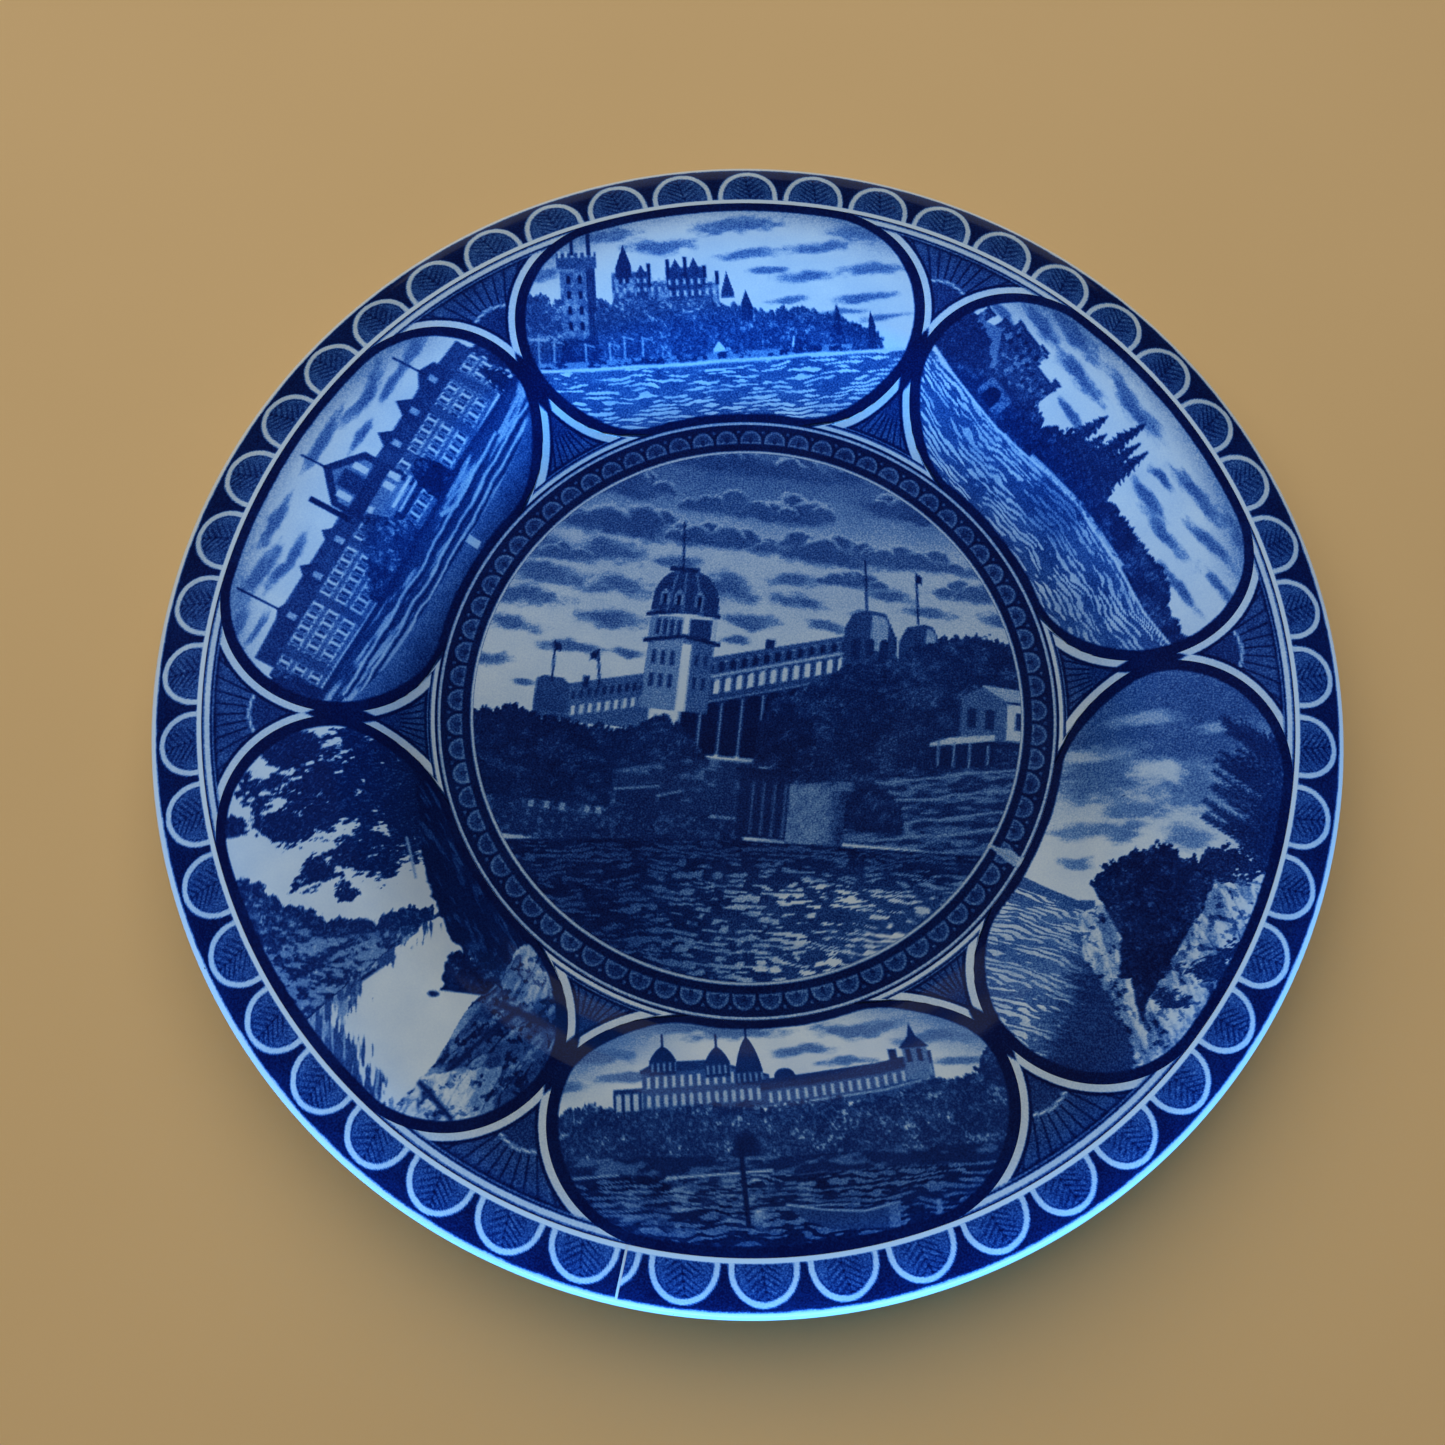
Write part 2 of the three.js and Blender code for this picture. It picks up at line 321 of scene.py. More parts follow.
def leaves_on(art, blobs, tone, seed, size=1.8):
    """Hanging leaves, thinner towards the edge of each oval blob (x, y, across, up)."""
    field = np.zeros_like(art.x)
    for x, y, across, up in blobs:
        field = np.maximum(field, 1.15 - np.hypot((art.x - x) / across, (art.y - y) / up))
    u, v = art.x + 0.6 * art.y, art.y - 0.6 * art.x
    leaf = 0.55 * patches(u, v * 2.0, size, seed, 3) + 0.45 * patches(art.x, art.y, 3.4 * size, seed + 1, 2)
    cover = ramp(leaf + 0.5 * ramp(field, 0.0, 0.95), 0.79, 0.87)
    dabs = ramp(patches(u * 1.4, v * 2.4, size * 0.5, seed + 2, 2), 0.55, 0.78)
    art.ink += cover * (tone - 0.16 * dabs - art.ink)


def ripples(art, top, tone, light, seed, pitch=1.0, broken=0.42):
    """Water: rows of short wavering dashes, wider apart as they come nearer."""
    depth = np.clip(top - art.y, 0, None)
    sway = 2.2 * (patches(art.x * 0.6, art.y * 1.6, 3.6, seed, 3) - 0.5)
    row = 66 * np.log1p(0.015 * depth) / pitch + sway
    line = np.floor(row)
    crest = 1 - np.abs(2 * (row - line) - 1) ** 1.6
    dash = patches(art.x + 23.7 * line, 0 * line, 3.0, seed + 4, 2)
    broad = patches(art.x * 0.5, art.y * 1.5, 4.0, seed + 7)
    shine = ramp(crest * dash, 0.75 * broken, broken) * (0.5 + 0.9 * broad)
    shade = tone + 0.14 * (broad - 0.5) - light * shine
    art.fill(-99, 99, -99, top, np.clip(shade, 0.03, 1), 0.3)


def rock(art, left, right, bottom, top, tone, light, seed, lean=0.3):
    """A broken face: leaning planes of different shade, a few clefts, and dark tufts."""
    u, v = art.x + lean * art.y, 0.45 * art.y
    planes = ramp(patches(u, v, 2.8, seed, 3), 0.36, 0.62)
    cleft = 1 - ramp(np.abs(patches(u * 1.1, v * 0.8, 3.6, seed + 3, 3) - 0.5), 0.0, 0.05)
    tufts = ramp(patches(art.x, art.y * 1.2, 1.5, seed + 5, 3), 0.58, 0.66)
    grain = patches(art.x * 1.5, art.y, 0.8, seed + 4, 2) - 0.5
    shade = tone - light * planes + 0.28 * cleft + 0.25 * grain + 0.4 * tufts
    edge = 1.6 * (patches(art.x, art.y, 1.8, seed + 8) - 0.5)
    art.fill(left + edge, right + edge, bottom + edge, top + edge, np.clip(shade, 0.05, 0.95), 0.35)


# %% Walls of windows, and poles
def windows(art, left, right, bottom, top, pitch, rows, tone, wide=0.5, tall=0.6, arched=False):
    """Rows of openings on a wall. The rows follow the wall's bottom and top."""
    height = (top - bottom) / rows
    u = (art.x - left) / pitch
    v = (art.y - bottom) / height
    u, v = (u - np.floor(u) - 0.5) * pitch, (v - np.floor(v) - 0.5) * height
    half_w, half_h = wide * pitch / 2, tall * height / 2
    outside = np.maximum(np.abs(u) - half_w, np.abs(v) - half_h)
    if arched:
        crown = np.hypot(u, v - half_h + half_w) - half_w
        outside = np.where(v > half_h - half_w, crown, outside)
    edge = np.maximum(np.maximum(left - art.x, art.x - right), np.maximum(bottom - art.y, art.y - top))
    art.lay(np.maximum(outside, edge), tone, 0.35)


def flagpole(art, x, bottom, top, lean=0.0, flag=0.0, tone=0.9):
    art.stroke((x, bottom), (x + lean, top), 0.45, tone)
    if flag:
        fly = (art.x - x - lean) / flag
        hang = 0.4 * np.sin(3 * fly)
        art.fill(min(x + lean, x + lean + flag), max(x + lean, x + lean + flag),
                 top - 2.6 + hang, top - 0.4 + hang - 0.6 * np.abs(fly), tone)


# %% [markdown]
# ## The pictures
# A souvenir plate shows the sights of the place that it was sold in. These seven are drawn
# simply: a big shore hotel under a heavy sky in the middle, and six smaller sights round it.
# Each is a list of marks from the back of the scene to the front, as a stage painter works, so
# that what stands nearer simply covers what lies behind it.

# %% The shore hotel in the middle
def shore_hotel(x, y):
    art = Engraving(x, y, 0.1)
    art.ink = 0.08 + 0.10 * ramp(y, 10, 30) + 0.36 * ramp(y, 34, 56)
    thin_clouds(
        art, 0.56, 11, (-50, 27, 14, 3), (-54, 20, 12, 2.8), (-33, 17.5, 9, 2.8), (-55, 13.5, 8, 2),
        (-42, 9.6, 9, 1.7), (-59, 4.6, 5, 1.9), (-28, 9.4, 4, 1.2), (-51, 0, 4, 0.9), (-33, 25, 10, 3),
        (8, 31, 7, 2), (9, 25.5, 7, 2.2), (-1, 20, 7, 2.2), (-7, 27, 8, 4.4), (-4, 15, 4, 1.2),
        (30, 29, 6, 1.7), (16, 20.5, 6, 1.5), (40, 26, 8, 1.7), (56, 26, 6, 2), (-36, 33, 11, 3.4),
        (-54, 34, 9, 3), (26, 24, 5, 1.2), (52, 37, 9, 2.4), (-20, 32, 7, 2),
    )
    for cx, cy, across, up, belly, seed in (
        (-2, 57, 26, 6, 0.66, 21), (36, 50, 14, 6, 0.66, 22), (-36, 49, 13, 7, 0.66, 23),
        (8, 46, 8, 7, 0.64, 24), (-6, 46, 13, 6, 0.64, 25), (-33, 39, 15, 8, 0.66, 26),
        (-10, 38, 12, 6, 0.66, 27), (14, 37, 15, 7, 0.64, 28), (34, 37, 12, 6, 0.62, 29),
        (50, 31, 9, 5, 0.60, 30), (21, 31, 8, 4, 0.6, 31), (-48, 31, 9, 4, 0.58, 32),
    ):
        heap_cloud(art, cx, cy, across, up, belly, 0.2, seed)
    # left wing and its pavilion
    roof = art.line((-48, -1), (-24, 5))
    art.fill(-48, -22, -8, roof, 0.62)
    windows(art, -47, -24, roof - 4.6, roof - 1.2, 1.7, 1, 0.85, arched=True)
    windows(art, -40, -24, roof - 8.2, roof - 5.0, 1.9, 1, 0.12, 0.5, 0.7)
    art.fill(-48, -40.5, -6, art.line((-48, 1.4), (-46.5, 2.2), (-42, 1.9), (-40.5, 0.6)), 0.72)
    flagpole(art, -44.6, 1, 10.5, -0.4, flag=1.6)
    art.fill(-37.6, -36.2, 0, 3, 0.85)
    flagpole(art, -33.8, 1, 9.4, -1.2, flag=-1.6)
    # right wing: roof with dormers, pale windows, arcade
    eaves = art.line((-14, 4.5), (20, 14.6))
    ridge = art.line((-14, 9), (20.5, 18.6))
    art.fill(2.7, 4.8, 10, 16, 0.85)
    art.fill(-14, 22, eaves, ridge, 0.66)
    windows(art, -13, 21, eaves + 0.3, ridge - 1.0, 2.5, 1, 0.9, 0.5, 0.8, arched=True)
    windows(art, -12.2, 21, eaves + 2.2, ridge - 0.9, 2.5, 1, 0.4, 0.3, 0.4)
    art.fill(-14, 24, eaves - 7.5, eaves, 0.72)
    art.fill(-14, 24, eaves - 0.6, eaves + 0.1, 0.28)
    windows(art, -13.6, 24, eaves - 4.6, eaves - 1.0, 2.5, 1, 0.1, 0.55, 0.95, arched=True)
    art.fill(-15, 14, -12, eaves - 6.2, 0.84)
    windows(art, -15, 14, -13, eaves - 6.0, 4.6, 1, 0.95, 0.78, 0.92, arched=True)
    for post in np.arange(-15, 13, 4.6):
        art.fill(post - 0.25, post + 0.25, -12, 0.3 * post + 1.6, 0.45)
    art.fill(-15, 14, eaves - 6.4, eaves - 6.0, 0.45)
    # tower with its domed roof
    art.fill(-24, -9, -3, 19, 0.6)
    art.fill(-24, -16, -3, 19, 0.42)
    windows(art, -23.4, -17, 1, 12, 2.1, 2, 0.8, 0.45, 0.6)
    windows(art, -15.6, -9.6, 1, 12, 2.0, 2, 0.82, 0.4, 0.5)
    art.fill(-16.2, -14.0, -3, 13, 0.06)
    windows(art, -23, -16.4, 14, 19, 1.6, 1, 0.82, 0.6, 0.8, arched=True)
    art.fill(-15, -9.4, 14, 19, 0.78)
    art.fill(-16.5, -15, 14, 21, 0.08)
    art.fill(-10.0, -9.0, 14, 21, 0.2)
    art.fill(-25.2, -7.6, art.line((-25, 12.4), (-16, 14.2), (-7, 12.8)),
             art.line((-25, 13.4), (-16, 15.2), (-7, 13.8)), 0.9)
    art.fill(-25.2, -8.2, art.line((-25, 18.8), (-16, 20.4), (-8, 19.6)),
             art.line((-25, 19.7), (-16, 21.4), (-8, 20.6)), 0.9)
    art.fill(-24.2, -8.8, 20.2, art.dome(-16.5, 7.9, 19.0, 11.6, 2.6), 0.78)
    for rib in (-20.6, -17.0, -12.6):
        art.stroke((rib, 20.6), (-17.2 + 0.55 * (rib + 17.2), 30), 0.5, 0.5)
    for dormer in (-21.4, -18.2, -13.4):
        art.fill(dormer - 1.0, dormer + 1.0, 22, art.peak(dormer, 1.2, 24.4, 1.6), 0.4)
        art.fill(dormer - 0.45, dormer + 0.45, 22, 24.6, 0.95)
    art.fill(-21.0, -14.2, 30.2, 31.4, 0.88)
    flagpole(art, -18.0, 31, 42.5, -0.9)
    # right pavilions
    for left, right, low, high, pole in ((20.4, 32.5, 11, 25.4, 25.0), (33, 43.5, 12, 23.4, 37.0)):
        roof = art.line((left - 1, high - 7), (left + 1.5, high - 1.2), (left + 5.5, high),
                        (right - 3, high - 0.6), (right, high - 6.5))
        art.fill(left, right, low, roof, 0.74)
        art.fill(left + 6, right - 2.2, high - 9.5, roof - 0.8, 0.34)
        windows(art, left + 1.2, right - 1, low + 1.5, high - 6, 3.2, 1, 0.86, 0.62, 0.8, arched=True)
        flagpole(art, pole, high, high + 12, -1.3, flag=1.4 if pole > 30 else 0)
    # the woods, the cottage and the slopes below
    wood(art, 6, 63, -22, art.line((4, -6), (9, 2), (14, 6), (24, 12), (34, 15.5), (44, 20.5), (56, 21),
                                   (63, 19)), 0.82, 31, 1.5)
    wood(art, -63, -6, -30, art.line((-63, -9), (-52, -6), (-40, -8.5), (-29, -9), (-24, -8), (-12, -9),
                                     (-6, -16)), 0.86, 32, 1.5)
    wood(art, -25.5, -11.5, -20, art.dome(-18.5, 7, -16, 11.4), 0.84, 34, 0.9)
    wood(art, 2.5, 17, -14, art.dome(9.5, 7, -12, 15), 0.86, 35, 1.1)
    art.fill(48, 63, -2.5, art.peak(53, 6.5, 6.2, 4), 0.6)
    art.fill(52.6, 63, art.line((52, 10.2), (58, 7)), art.line((52, 10.4), (63, 9.8)), 0.28)
    windows(art, 48.5, 57, -0.5, 5.2, 4.1, 1, 0.86, 0.5, 0.8)
    art.fill(58.4, 63, -2, 6.4, 0.16)
    art.fill(60.4, 61.8, 0.5, 4.5, 0.8)
    art.fill(41.5, 56, art.line((41.5, -5.2), (56, -2.4)), art.line((41.5, -4.4), (46, -2.6), (56, -1.0)),
             0.2)
    art.fill(42.4, 56, -9.6, art.line((41.5, -5.4), (56, -2.6)), 0.9)
    for post in (43.5, 47, 50.5, 54.6):
        art.fill(post - 0.25, post + 0.25, -9.6, -3.6, 0.4)
    slope = art.line((12, -17), (30, -14), (46, -10.5), (63, -6))
    strata = patches(x * 0.5 + 0.3 * y, y * 2 - 0.36 * x, 2.2, 41, 3)
    art.fill(14, 63, -29, slope, 0.82 - 0.3 * ramp(strata, 0.42, 0.68), 0.6)
    for level in (-13, -17.5, -22.5, -26):
        edge = level + 0.2 * (x - 40) + 1.4 * (patches(x, y * 0 + level, 5, 43) - 0.5)
        art.fill(30, 63, edge - 0.3, edge + 0.3, 0.42, 0.4)
    wood(art, 23, 37, -26, art.dome(30, 7, -26, 10), 0.84, 33, 0.9, light=0.15)
    # terraces, sheds and the landing stage
    terrace = patches(x, y * 2.2, 3.0, 45)
    art.fill(-28, 4, -26, art.line((-28, -18), (-12, -13.5), (4, -13)),
             0.8 - 0.22 * ramp(terrace, 0.5, 0.7), 0.8)
    for left, right, low in ((-27, -18, -25.5), (-17.5, -12.5, -26)):
        art.fill(left, right, low, low + 4, 0.84)
        art.fill(left - 0.6, right + 0.6, art.line((left, low + 3), (right, low + 4.6)),
                 art.line((left, low + 3.6), (right, low + 5.1)), 0.46)
    art.fill(-58, 2, -35, -26.8 + 0.8 * patches(x, y, 2, 48),
             0.84 - 0.2 * ramp(patches(x, y, 1.0, 46), 0.5, 0.72), 0.8)
    for post in (-46, -42.5, -39, -33.5, -31):
        art.fill(post, post + 1.2, -28.2, -26.6, 0.36)
    art.fill(0, 12, -30, -15.5, 0.86)
    windows(art, 2, 11.5, -29.6, -17, 2.4, 1, 0.6, 0.25, 0.95)
    art.fill(-1, 13, -15.6, -14.2, 0.9)
    art.fill(11.2, 23.8, -30.5, art.line((11, -17), (24, -17.6)),
             0.42 + 0.12 * ramp(patches(x, y, 1.0, 47), 0.4, 0.65) + 0.3 * ramp(x, 19, 24))
    art.stroke((13, -19), (20, -27), 0.4, 0.55)
    art.stroke((20.5, -20), (14, -28), 0.35, 0.5)
    # the water
    shore = art.line((-54, -36.5), (-20, -32.6), (0, -31), (63, -28.6))
    lit = ramp(x, -30, 30) * ramp(-y, 28, 44)
    ripples(art, shore, 0.92 - 0.2 * lit, 0.24 + 0.5 * lit, 51, pitch=1.1)
    reflection = ramp(-y, 26, 34) * (1 - ramp(-y, 34, 40)) * (1 - ramp(np.abs(x - 5), 30, 45))
    art.ink += 0.25 * reflection * (0.95 - art.ink) * (y < shore)
    art.fill(-51, -46, -35.8, -34.8, 0.2)
    art.fill(-50, 63, shore - 0.3, shore + 0.15, 0.9)
    return art.ink


# %% [markdown]
# The six small views are cut with the same tools. Three stand with their sky towards the rim,
# the one at the foot of the plate stands with its sky towards the middle, and the two at the
# sides stand upright like the middle picture, which is how the printer's transfers were laid.

# %% A stone house by the water
def stone_house(x, y):
    art = Engraving(x, y, 0.1)
    art.ink = 0.06 + 0.55 * ramp(np.hypot(x / 50, y / 26), 0.62, 1.05) * ramp(y, 2, 14)
    thin_clouds(
        art, 0.56, 61, (-17, 10, 9, 2.3), (-33, 11, 8, 2), (14, 5, 7, 1.5), (23, 3, 10, 1.7),
        (20, 14, 10, 2),
        (34, -2, 8, 1.3), (31, 9, 8, 1.8), (-12, 3.5, 6, 1.2), (40, 4, 7, 1.6), (-4, 16, 12, 2.4),
        (-28, 16, 12, 2.6),
        (12, 10, 5, 1.2), (-39, 5, 6, 1.2), (36, 15, 10, 2.4),
    )
    for left, right, top in ((-43, -40.6, 3.6), (-38.6, -25.4, 5.0), (-36, -34.4, 7.4), (-35.4, -25.6, 7.2),
                             (-28.4, -26.2, 7.9), (-26, -18.4, 4.2), (-20.2, -18.4, 5.6)):
        art.fill(left, right, -8, top, 0.76 - 0.3 * ramp(patches(x, y, 0.9, 64), 0.5, 0.72))
        art.fill(left - 0.3, right + 0.3, top - 0.5, top + 0.1, 0.82)
    windows(art, -34.6, -26, 1.5, 6.2, 2.2, 2, 0.9, 0.4, 0.5)
    windows(art, -25.4, -19, -1.5, 3.2, 1.8, 2, 0.88, 0.4, 0.5)
    art.fill(-46, -30, -8, art.line((-46, -2), (-37, 3), (-30, -4)), 0.5)
    wood(art, -52, -18, -11, art.line((-52, 0), (-47, 0), (-38, -1), (-30, -4), (-18, -1)), 0.8, 65, 1.0)
    art.fill(-29.5, -22, -9, -4.6, 0.52 + 0.2 * ramp(patches(x, y, 0.8, 66), 0.45, 0.6))
    art.fill(-28.0, -24.2, -9, art.dome(-26.1, 1.9, -7.6, 2.3), 0.93)
    wood(art, -20, -10, -9, art.line((-20, -1.5), (-14, -2), (-10, 0)), 0.82, 67)
    wood(art, -12, 10, -8.5, art.line((-12, -2), (-8, 1), (-4, 2.4), (5, 2), (8, -1), (10, -3)), 0.86, 68,
         1.6)
    for trunk, top, half in ((-6.4, 9.6, 4.4), (0.0, 15.0, 4.6), (3.0, 11.4, 3.6), (5.6, 11.4, 4.0),
                             (-3.2, 7.0, 3.4)):
        fir(art, trunk, -6, top, half, 0.86, 69 + int(top))
    wood(art, 8, 22, -8, art.line((8, -3), (12, -1.6), (22, -2)), 0.84, 70, 1.0)
    wood(art, 20, 52, -11, art.line((20, -2), (28, -2.2), (33, -4), (37, -7), (52, -8.5)), 0.82, 71, 0.8)
    shore = art.line((-47, -12.2), (-20, -9.8), (-6, -7.4), (6, -6.4), (22, -8), (34, -10.6), (47, -11.6))
    art.fill(-10, 23, shore - 1.2, shore + 0.9, 0.26 + 0.45 * ramp(patches(x, y * 1.6, 1.5, 72), 0.5, 0.62))
    ripples(art, shore, 0.66, 0.5, 73, pitch=0.8)
    art.fill(-47, 47, shore - 0.3, shore + 0.2, 0.12)
    shade = (1 - ramp(np.abs(x - 2), 5, 9)) * (1 - ramp(-y, 12, 16)) * (y < shore)
    art.ink += 0.5 * shade * (0.82 - art.ink)
    return art.ink


# %% A castle on a wooded island
def island_castle(x, y):
    art = Engraving(x, y, 0.08)
    art.ink = 0.05 + 0.5 * ramp(np.hypot(x / 50, y / 26), 0.66, 1.05) * ramp(y, 2, 14)
    thin_clouds(
        art, 0.5, 81, (-13, 13.5, 9, 2.2), (20, 4.4, 8, 1.5), (8, 10.5, 8, 1.5), (36, 4.4, 9, 1.7),
        (33, -1.8, 8, 1.2),
        (28, -4.4, 6, 0.9), (36, 14, 10, 2.6), (-25, 17, 9, 2), (6, 17, 12, 2.4), (24, 11, 9, 1.6),
        (-41, 8, 7, 1.8),
        (16, -0.6, 5, 0.9), (38, -6.4, 6, 0.9), (12, 6.6, 5, 1.0),
    )
    # gabled block and corner turrets on the hill
    for left, right, top in ((-24.4, -16, 7.6), (-16, -12, 5.4), (-12, -3.2, 8.2), (-3.4, 0, 4.6)):
        art.fill(left, right, 0, top, 0.64 - 0.3 * ramp(patches(x, y, 0.9, 83), 0.48, 0.7))
    art.fill(-23.4, -19.8, 5, art.line((-23.4, 8.6), (-21.4, 14), (-19.6, 8.6)), 0.84)
    for gable, half, foot, rise in ((-9.6, 2.0, 6.6, 3.6), (-5.4, 1.8, 6.6, 3.8), (-17.6, 1.3, 6.8, 2.4),
                                    (2.0, 1.5, 2.0, 4.8)):
        art.fill(gable - half, gable + half, 1, art.peak(gable, half, foot, rise), 0.76)
    for chimney, top in ((-11.4, 10.2), (-7.4, 10.6), (-3.0, 8.4), (-0.2, 7.0), (-15.8, 9.4)):
        art.fill(chimney - 0.4, chimney + 0.4, 4, top, 0.88)
    windows(art, -24, -12, 2.6, 6.6, 1.6, 2, 0.2, 0.35, 0.5)
    windows(art, -12, 0, 1.2, 6.2, 1.7, 2, 0.16, 0.35, 0.5)
    # the square battlemented tower
    art.fill(-36.2, -28.2, -9, 12.4, 0.56 - 0.2 * ramp(patches(x, y, 1.2, 84), 0.5, 0.7))
    art.fill(-30.2, -28.2, -9, 12.4, 0.8)
    art.fill(-36.8, -27.7, 8.8, 12.6, 0.66)
    windows(art, -36.8, -27.7, 11.4, 13.2, 1.5, 1, 0.12, 0.45, 0.9)
    windows(art, -35.6, -30.4, -6, 8, 2.6, 4, 0.92, 0.35, 0.55, arched=True)
    art.fill(-33.6, -32.8, 12, 17.2, 0.86)
    art.fill(-29.8, -28.9, 12, 17.4, 0.86)
    # the woods
    wood(art, -52, -36, -15, art.line((-52, 1), (-41, 2.4), (-36, 0.5)), 0.68, 85, 1.3, 0.24)
    wood(art, -37, -27, -13, -7.5, 0.8, 92, 1.0)
    wood(art, -28.5, 6, -12, art.line((-28.5, 1.5), (-22, 1), (-12, 1.2), (-6, 0.4), (6, -1.5)), 0.7, 86,
         1.2, 0.26)
    wood(art, 4, 37, -13.5, art.line((4, -2), (14, -2.6), (20, -3.6), (28, -6), (33, -9), (37, -11)),
         0.72, 87, 1.1, 0.26)
    fir(art, 26.8, -9, -2.6, 1.6, 0.86, 88)
    art.fill(5.0, 7.4, -4, art.line((4.6, -1.4), (6.2, 2.4), (7.6, -1.4)), 0.82)
    art.fill(33.8, 35.4, -14, art.line((33.6, -9), (34.4, -4.4), (35.6, -9)), 0.8)
    for ruin in (-42, -38.6, -31.5, -26, -22.6, -18.4):
        wall = 2.6 * chance(ruin, 3, 89)
        art.stroke((ruin, -12.4), (ruin + 0.2, -8.4 + wall), 0.4, 0.26)
        art.stroke((ruin, -8.4 + wall), (ruin + 2.2, -8.8 + wall), 0.35, 0.32)
    art.fill(-44, -39.5, -7.6, -7.0, 0.24)
    art.fill(-2, 0.8, -10.6, art.peak(-0.6, 1.6, -9, 1.6), 0.12)
    art.stroke((16, -12), (16.8, -8), 0.5, 0.1)
    shore = art.line((-47, -14.6), (-36, -13.6), (-20, -11.8), (0, -10.8), (20, -11.4), (36, -13.2),
                     (47, -14.4))
    art.fill(-47, 30, shore, shore + 1.6, 0.42 + 0.4 * ramp(patches(x, y * 2, 1.6, 90), 0.42, 0.6))
    ripples(art, shore, 0.6, 0.5, 91, pitch=0.75)
    art.fill(-47, 47, shore - 0.3, shore + 0.35, 0.1)
    return art.ink


# %% A long hotel of many windows
def long_hotel(x, y):
    art = Engraving(x, y, 0.12)
    art.ink = 0.07 + 0.52 * ramp(np.hypot(x / 50, y / 26), 0.64, 1.05) * ramp(y, 2, 14)
    thin_clouds(
        art, 0.54, 101, (-24, 13.4, 9, 2), (-20, 9.8, 9, 1.5), (-38, 12, 7, 1.8), (22, 14, 10, 1.8),
        (13, 10.4, 6, 1.2),
        (-13, 16.5, 9, 1.8), (36, 9.4, 8, 1.8), (27, 10, 7, 1.2), (-36, 7.6, 6, 1.0), (8, 17, 10, 1.8),
    )
    roof = art.line((-42, 4.6), (-30, 5.4), (0, 5.4), (30, 4.4), (43, 2.4))
    foot = art.line((-42, -10), (0, -9), (43, -11))
    wall = foot + 0.72 * (roof - foot)
    art.fill(-41.5, 42.5, foot, wall, 0.6)
    windows(art, -41, 42, foot + 0.4, wall, 2.9, 3, 0.14, 0.8, 0.72)
    windows(art, -41, 42, foot + 0.4, wall, 1.45, 3, 0.78, 0.5, 0.5)
    for bay in (-37, -23.5, -9, 14.5, 26.5, 36):
        art.fill(bay - 1.1, bay + 1.1, foot, wall, 0.68)
    art.fill(-41.8, 43, wall - 0.4, roof, 0.7 + 0.1 * patches(x, y, 1.5, 103))
    for gable, half, rise in ((-30, 3.6, 1.8), (-19.4, 2.4, 2.6), (-10, 2.4, 2.6), (15.6, 2.4, 3.0),
                              (24, 2.4, 3.0), (32.6, 3.6, 2.0)):
        art.fill(gable - half, gable + half, wall, art.peak(gable, half, 4.4, rise), 0.78)
        art.fill(gable - 0.7, gable + 0.7, 1.8, 3.8, 0.3)
    # the middle block with its high gable
    art.fill(-5.6, -4.3, 3, 12.6, 0.9)
    art.fill(-4, 10.4, -6, art.peak(3, 11.5, 4.2, 9.6), 0.82)
    art.fill(-2.6, 8.8, -4, art.peak(3, 10, 3.6, 8.0), 0.5)
    art.fill(0.6, 5.0, 4.5, 9.5, 0.78)
    for left, low in ((-1.6, 5), (5.8, 5), (5.4, -1.5), (8, -1.5), (-1.4, 0)):
        art.fill(left, left + 1.6, low, low + 3.4, 0.12)
    art.fill(-3, 10, 1.2, 4.6, 0.8)
    art.fill(2.4, 10.6, -3.4, -2.6, 0.1)
    art.fill(2.4, 10.6, -4.8, -4.2, 0.18)
    flagpole(art, 3.0, 13, 19, 0)
    flagpole(art, -30, 6, 15.6, 0)
    flagpole(art, 32.6, 5, 12.6, 0)
    wood(art, -18, 2, -11, art.line((-18, -9), (-12, -5), (-6, -1), (-2, 1), (1, -6), (2, -9)), 0.76, 104,
         1.0, 0.22)
    wood(art, 9.5, 17, -10, art.dome(13.2, 3.7, -9, 6.5), 0.86, 105, 0.8, 0.15)
    fir(art, 40, -12, -5, 3.6, 0.86, 106)
    wood(art, -52, -41, -12, art.line((-52, -1), (-41, -1)), 0.8, 107, 1.0)
    wood(art, 42.5, 52, -12, art.line((42, -2), (52, -4)), 0.8, 108, 1.0)
    # shore and lawn
    bank = art.line((-47, -11.4), (-20, -10.6), (0, -10), (20, -10.4), (47, -13.4))
    streaks = patches(x * 0.22, y * 1.7 + 0.05 * x, 1.9, 108)
    art.fill(-55, 55, -30, bank, 0.76 - 0.5 * ramp(streaks, 0.46, 0.66))
    art.fill(-46, 46, bank - 0.2, bank + 0.9, 0.82)
    for level, start, end in ((-12.6, -40, 30), (-14.8, -44, 44), (-16.4, -36, 40), (-17.8, 10, 40)):
        edge = level + 1.2 * (patches(x, 0 * y + level, 7, 109) - 0.5) - 0.0012 * x**2
        art.fill(start, end, edge - 0.22, edge + 0.22, 0.16)
        art.fill(start, end, edge - 0.9, edge - 0.4, 0.84)
    art.stroke((7.6, -11.2), (11.6, -12.8), 0.8, 0.2)
    art.stroke((9, -11.0), (14.5, -11.8), 0.45, 0.3)
    near = art.line((-47, -15.5), (-30, -17.2), (0, -17), (30, -18.6), (47, -17))
    art.fill(-55, 55, -30, near, 0.56 + 0.2 * ramp(-y, 17, 23) + 0.1 * (patches(x, y, 1.2, 110) - 0.5))
    art.fill(5.8, 7.8, -20, -17.2, 0.14)
    return art.ink


